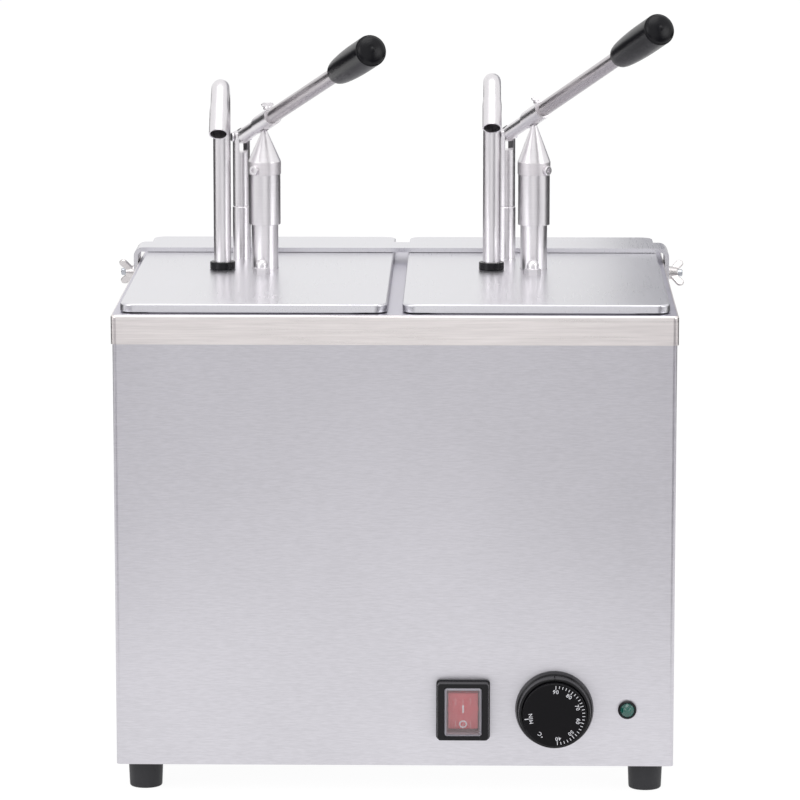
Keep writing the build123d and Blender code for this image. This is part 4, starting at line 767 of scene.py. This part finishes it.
def lens_paint(tree):
    """Deep green clear plastic, unlit, a little uneven where the dye pooled."""
    tint = blotched(tree, 500.0, "#06544c", "#0f7d6c")
    return add(tree, "ShaderNodeBsdfPrincipled", Base_Color=tint, Roughness=0.1,
               Transmission_Weight=0.35, IOR=1.58, Coat_Weight=0.5).outputs[0]


LENS_FACETS = 14
LENS_BACK = 0.0054
# Rings of facets from the tip out: share of the lens's radius, and depth.
LENS_TIERS = ((0.30, 0.0003), (0.62, 0.0011), (0.86, 0.0022), (1.0, 0.0034), (1.0, LENS_BACK))
lens_low, lens_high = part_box("lamp_lens")
lens_mid = (lens_low + lens_high) / 2
lens_r = (lens_high.x - lens_low.x) / 2
lens_tip = (lens_mid.x, lens_low.y, lens_mid.z)
lens_front = Matrix.Translation(lens_tip) @ Matrix.Rotation(math.radians(90), 4, "X")
rings = [[lens_front @ Vector((0, 0, 0))]]
for tier, (share, back) in enumerate(LENS_TIERS):
    half = 0.5 * (tier % 2)
    angles = [2 * math.pi * (k + half) / LENS_FACETS for k in range(LENS_FACETS)]
    r = lens_r * share
    rings.append([lens_front @ Vector((r * math.cos(a), r * math.sin(a), -back)) for a in angles])
rings.append([lens_front @ Vector((0, 0, -LENS_BACK))])
lens = bmesh.new()
ringed(lens, rings, False)
bmesh.ops.triangulate(lens, faces=lens.faces)
green = finish_named("polycarbonate_green_clear", lens_paint)
settle("lamp_lens_cut", mesh_of("lamp_lens_cut", lens), green, "root", "lamp_lens", sharp=4)

# ---- Pans and lids ----
# Deep-drawn one-third size food pans under folded lids of 1 mm stainless; the
# lids are satin, so they carry soft, faint pictures of what stands on them.
#
# Satin polish over a fine grain that runs front to back: a pale sheet with a soft sheen.
satin = stainless("stainless_satin_lid", "#d8d7dc", 0.30, (1200, 20, 400), depth=0.03, tone=0.05, coat=0.35)
# Deep drawing pulls the metal down the pan's walls: faint upright streaks, rather bright.
pan_steel = stainless("stainless_deep_drawn", "#c4c3c8", 0.24, (300, 300, 40), depth=0.03, tone=0.06)
SIDES = ("left", "right")
for side in SIDES:
    faired(f"lid_{side}", satin)
    faired(f"pan_{side}", pan_steel)

# ---- Pumps, fixed pieces ----
# Polished stainless: a pump tube welded through a plate under the lid, a bent
# spout, a turned post with a fork, and a cap nut. A black bushing seals the spout.
#
# Turned and buffed: bright, with hairlines round each piece 0.4 mm apart.
turned_steel = stainless("stainless_turned_polished", "#e6e3e6", 0.31, (30, 30, 2600), depth=0.03, tone=0.05)
# Drawn tube: bright, with the die's faint lines along it.
drawn_steel = stainless("stainless_drawn_tube", "#e4e1e4", 0.31, (1500, 1500, 25), depth=0.02, tone=0.05)
# Heights are in millimetres over the lid.
TUBE_R, TUBE_BORE = 9.2, 7.7
TUBE_TOP, TUBE_BOTTOM = 39.5, -122.0
WEB_HIGH, WEB_LOW, WEB_BORE = 6.0, -4.0, 3.1            # the wall that guides the piston's rod
SPOUT_R, SPOUT_BORE, OUTLET_R = 6.0, 5.1, 6.5
ARCH_R, DROOP = 12.0, math.radians(52.0)                # the spout's bend, and how far it passes level
LEG, FLARE, FLARE_RUN = 30.5, 24.0, 6.0                 # straight outlet, its wide part, the taper to it
LIP, LIP_WALL = 0.2, 0.7                                # the lip's round, and where its inner edge lies
SEAL_BORE, SEAL_NECK, SEAL_R, SEAL_HIGH = 6.02, 7.2, 8.65, 5.1
RING_STEP, AROUND_SPOUT = 1.2, 56


def spout_centre(low, top, x, y, s):
    """Point and direction on the spout's centre line, s millimetres up from its foot."""
    rise = (top - low) / MM - ARCH_R
    swing = ARCH_R * (math.pi / 2 + DROOP)
    if s < rise:
        return Vector((x, y, low + s * MM)), Vector((0, 0, 1))
    if s < rise + swing:
        a = (s - rise) / ARCH_R
        forward, up = ARCH_R * (1 - math.cos(a)), ARCH_R * math.sin(a)
        return Vector((x, y - forward * MM, low + (rise + up) * MM)), Vector((0, -math.sin(a), math.cos(a)))
    last, heading = spout_centre(low, top, x, y, rise + swing - 1e-6)
    return last + heading * (s - rise - swing) * MM, heading


def spout(side):
    """Tube bent on a former, its outlet opened a little and its lip dressed round."""
    low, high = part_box(f"spout_tube_{side}")
    x, y = (low.x + high.x) / 2, high.y - SPOUT_R * MM
    top = high.z - SPOUT_R * MM
    whole = (top - low.z) / MM - ARCH_R + ARCH_R * (math.pi / 2 + DROOP) + LEG
    bend_start = (top - low.z) / MM - ARCH_R
    stations = [0.0, bend_start * 0.5]
    while stations[-1] < whole - RING_STEP:
        stations.append(max(stations[-1] + RING_STEP, bend_start))
    stations[-1] = whole

    def widened(s):
        t = min(1.0, max(0.0, (s - whole + FLARE) / FLARE_RUN))
        return (OUTLET_R - SPOUT_R) * t * t * (3 - 2 * t)

    outside = [(SPOUT_R + widened(s), s) for s in stations]
    inside = [(SPOUT_BORE + widened(s), s) for s in reversed(stations)]
    lip = [(OUTLET_R - LIP, whole), (OUTLET_R - LIP_WALL, whole)]
    outside[-1] = (OUTLET_R, whole - LIP)
    inside[0] = (inside[0][0], whole - LIP)
    rings = []
    for r, s in outside + lip + inside:
        point, heading = spout_centre(low.z, top, x, y, s)
        side_on = Vector((1, 0, 0))
        across = heading.cross(side_on)
        angles = [2 * math.pi * k / AROUND_SPOUT for k in range(AROUND_SPOUT)]
        rings.append([point + (side_on * math.cos(a) + across * math.sin(a)) * r * MM for a in angles])
    work = bmesh.new()
    ringed(work, rings, True)
    return mesh_of(f"spout_{side}", work)


def over_lid(node, side):
    """Middle of an upright piece, at the height of its lid's top."""
    low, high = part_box(f"{node}_{side}")
    return Vector(((low.x + high.x) / 2, (low.y + high.y) / 2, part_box(f"lid_{side}")[1].z))


# The spring sits squashed between lid and piston. Its foot and head are set past its ends by this share of its
# length. The piece is not stretched between them and stays fixed where it is made.
COIL_EASE = 0.08
for side in SIDES:
    lid_body = f"lid_{side}"
    settle(f"pump_tube_{side}", lathe("pump_tube", [
        (TUBE_R, TUBE_BOTTOM), (TUBE_R, TUBE_TOP), (TUBE_BORE, TUBE_TOP), (TUBE_BORE, WEB_HIGH),
        (WEB_BORE, WEB_HIGH), (WEB_BORE, WEB_LOW), (TUBE_BORE, WEB_LOW), (TUBE_BORE, TUBE_BOTTOM)],
        Matrix.Translation(over_lid("pump_cylinder", side)), radius=0.5, around=88),
        turned_steel, lid_body, f"pump_cylinder_{side}")
    settle(f"spout_{side}", spout(side), drawn_steel, lid_body, f"spout_tube_{side}")
    seal_at = over_lid("spout_bushing", side)
    settle(f"spout_seal_{side}", lathe("spout_seal", [
        (SEAL_BORE, -1), (SEAL_NECK, -1), (SEAL_NECK, 0), (SEAL_R, 0), (SEAL_R, SEAL_HIGH),
        (SEAL_BORE, SEAL_HIGH)], Matrix.Translation(seal_at), radius=0.7, around=64),
        black, lid_body, f"spout_bushing_{side}")
    for node in ("pump_plate", "dome_nut", "fulcrum_post", "pivot_pin", "valve_body"):
        faired(f"{node}_{side}", turned_steel)
    coil_low, coil_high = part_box(f"return_spring_{side}")
    spare = Vector((0, 0, (coil_high.z - coil_low.z) * COIL_EASE))
    foot = Vector((seal_at.x, seal_at.y, coil_low.z)) - spare
    head = Vector((seal_at.x, seal_at.y, coil_high.z)) + spare
    faired(f"return_spring_{side}", turned_steel, body=(lid_body, f"piston_{side}", foot, head))

# ---- Pistons ----
# A turned cone with a collar closes a sleeve that slides down over the pump
# tube; a socket screw locks them, and the rod inside carries the piston.
#
# Turned and left unpolished: a plain grey band under the bright cone.
collar_steel = stainless("stainless_turned_satin", "#e3dfe2", 0.45, (60, 60, 2600), depth=0.04, tone=0.06)
SLEEVE_R, SLEEVE_BORE = 10.9, 9.4
SLEEVE_LOW, SLEEVE_HIGH = 30.5, 65.3
SPIGOT_R, SPIGOT_HIGH = 10.2, 70.7      # the sleeve's thinned end, inside the collar
COLLAR_R, COLLAR_HIGH = 11.3, 73.9
ROD_HOLE_R, ROD_HOLE_END = 3.02, 82.0
PLAY = 0.02                             # between spigot and collar
UPRIGHT = 0.2                           # |normal.z| under which a face belongs to the collar
NOSE_R, SHOULDER_R, NOSE_HIGH = 0.9, 1.7, 0.6
for side in SIDES:
    on_axis = Matrix.Translation(over_lid("pump_cylinder", side))
    tip = (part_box(f"piston_cone_{side}")[1].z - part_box(f"lid_{side}")[1].z) / MM
    piston_body = f"piston_{side}"
    settle(f"sleeve_{side}", lathe("sleeve", [
        (SLEEVE_R, SLEEVE_LOW), (SLEEVE_R, SLEEVE_HIGH), (SPIGOT_R, SLEEVE_HIGH), (SPIGOT_R, SPIGOT_HIGH),
        (SLEEVE_BORE, SPIGOT_HIGH), (SLEEVE_BORE, SLEEVE_LOW)], on_axis, radius=0.4, around=96),
        turned_steel, piston_body, f"piston_sleeve_{side}")
    cone = settle(f"cone_{side}", lathe("cone", [
        (0, tip), (NOSE_R, tip), (SHOULDER_R, tip - NOSE_HIGH), (COLLAR_R, COLLAR_HIGH),
        (COLLAR_R, SLEEVE_HIGH), (SPIGOT_R + PLAY, SLEEVE_HIGH), (SPIGOT_R + PLAY, SPIGOT_HIGH + PLAY),
        (ROD_HOLE_R, SPIGOT_HIGH + PLAY), (ROD_HOLE_R, ROD_HOLE_END), (0, ROD_HOLE_END)],
        on_axis, radius=0.35, around=96), turned_steel, piston_body, f"piston_cone_{side}")
    cone.data.materials.append(collar_steel)
    for face in cone.data.polygons:
        face.material_index = int(abs(face.normal.z) < UPRIGHT)
    faired(f"collar_screw_{side}", turned_steel)
    faired(f"piston_{side}", turned_steel)

# ---- Levers ----
# A machined arm pinned in the fork takes a polished rod, locked by a thumb
# screw; the grip is a glossy black phenolic moulding with a domed end.
RISES = {"left": 16.9, "right": 19.3}   # degrees over level, at rest
BEARING = math.atan2(18.5, 50.0)        # how far each lever points out to the right of straight ahead
ROD_R, ROD_FROM, ROD_TO = 5.0, 60.5, 242.0
# Along the rod from the pivot: where the grip starts and ends, how far its
# swelling runs, where its barrel ends and its dome begins, and the moulding pip.
GRIP_FROM, GRIP_TO, SWELL_RUN = 222.0, 296.0, 46.0
BARREL_END = GRIP_TO - 5.2
DOME_FROM, DOME_EDGE, DOME_R, DOME_HIGH = GRIP_TO - 4.6, 9.9, 9.5, 3.95
PIP_FOOT, PIP_R, PIP_HIGH = 0.9, 0.5, 0.35
GRIP_R, GRIP_NECK, GRIP_MOUTH, GRIP_BORE = 10.3, 8.0, 7.2, 5.02
SWELL_POWER = 0.65                      # under 1: the grip swells soon after its neck
# Compression-moulded and buffed: the deepest black here, with long soft highlights.
gloss = plastic("phenolic_black_moulded", "#0b0b10", 0.30, pitch=500.0, depth=0.02, shine=0.22)


def grip_outline():
    """(radius, height) outline of a grip: bore, neck, swelling barrel, domed end with a moulding pip."""
    outline = [(0, ROD_TO + 1), (GRIP_BORE, ROD_TO + 1), (GRIP_BORE, GRIP_FROM), (GRIP_MOUTH, GRIP_FROM)]
    for k in range(13):
        t = k / 12
        swell = math.sin(t * math.pi / 2) ** SWELL_POWER
        outline.append((GRIP_NECK + (GRIP_R - GRIP_NECK) * swell, GRIP_FROM + 2 + SWELL_RUN * t))
    outline += [(GRIP_R, BARREL_END), (DOME_EDGE, DOME_FROM)]
    for k in range(8):
        t = math.radians(90 * k / 8)
        outline.append((DOME_R * math.cos(t), DOME_FROM + DOME_HIGH * math.sin(t)))
    outline += [(PIP_FOOT, GRIP_TO - PIP_HIGH), (PIP_R, GRIP_TO), (0, GRIP_TO)]
    return outline[::-1]


for side in SIDES:
    swing = next(j for j in frame["joints"] if j["name"] == f"lever_swing_{side}")
    along = (Matrix.Translation(swing["pos_m"]) @ Matrix.Rotation(BEARING, 4, "Z")
             @ Matrix.Rotation(math.radians(90.0 - RISES[side]), 4, "X"))
    lever_body = f"lever_{side}"
    # Bar stock polished along its length: darker than the tubes, with fine lengthways lines.
    rod_steel = stainless(f"stainless_bar_polished_{side}", "#c2bdc0", 0.30, (900, 900, 20), depth=0.01,
                          tone=0.05, turn=along.to_3x3().inverted().to_euler())
    settle(f"rod_{side}", lathe("rod", [
        (0, ROD_TO), (ROD_R, ROD_TO), (ROD_R, ROD_FROM), (0, ROD_FROM)], along, radius=0.4, around=64),
        rod_steel, lever_body, f"lever_rod_{side}")
    settle(f"grip_{side}", lathe("grip", grip_outline(), along, radius=0.15, around=80), gloss, lever_body,
           f"lever_grip_{side}", sharp=40)
    faired(f"lever_arm_{side}", turned_steel)
    faired(f"lever_screw_{side}", turned_steel)

# ---- Hold-down bar and wing nuts ----
# A stainless strap bent over both lids, notched on to a stud each side and
# clamped by wing nuts cast in nickel-plated brass, all edges soft.
faired("hold_down_bar", satin)
# Plated over a tumbled casting: bright, slightly warm, and gently uneven.
cast = stainless("brass_nickel_plated_cast", "#d6d2d2", 0.30, (500, 500, 500), depth=0.10, tone=0.08)
CAST_GRAIN = 0.00035        # size of the cells the casting is remade in
CAST_EASE = 6               # rounds of smoothing that soften its edges
for side in SIDES:
    node = f"wing_nut_{side}"
    skin = frame["nodes"][node].data.copy()
    held = bpy.data.objects.new("casting", skin)
    bpy.context.scene.collection.objects.link(held)
    melted = held.modifiers.new("cast", "REMESH")
    melted.mode = "VOXEL"
    melted.voxel_size = CAST_GRAIN
    eased = held.modifiers.new("eased", "SMOOTH")
    eased.iterations = CAST_EASE
    bpy.context.view_layer.update()
    mesh = bpy.data.meshes.new_from_object(held.evaluated_get(bpy.context.evaluated_depsgraph_get()))
    bpy.data.objects.remove(held)
    settle(f"{node}_cast", mesh, cast, BODY_OF[node], node, sharp=70)
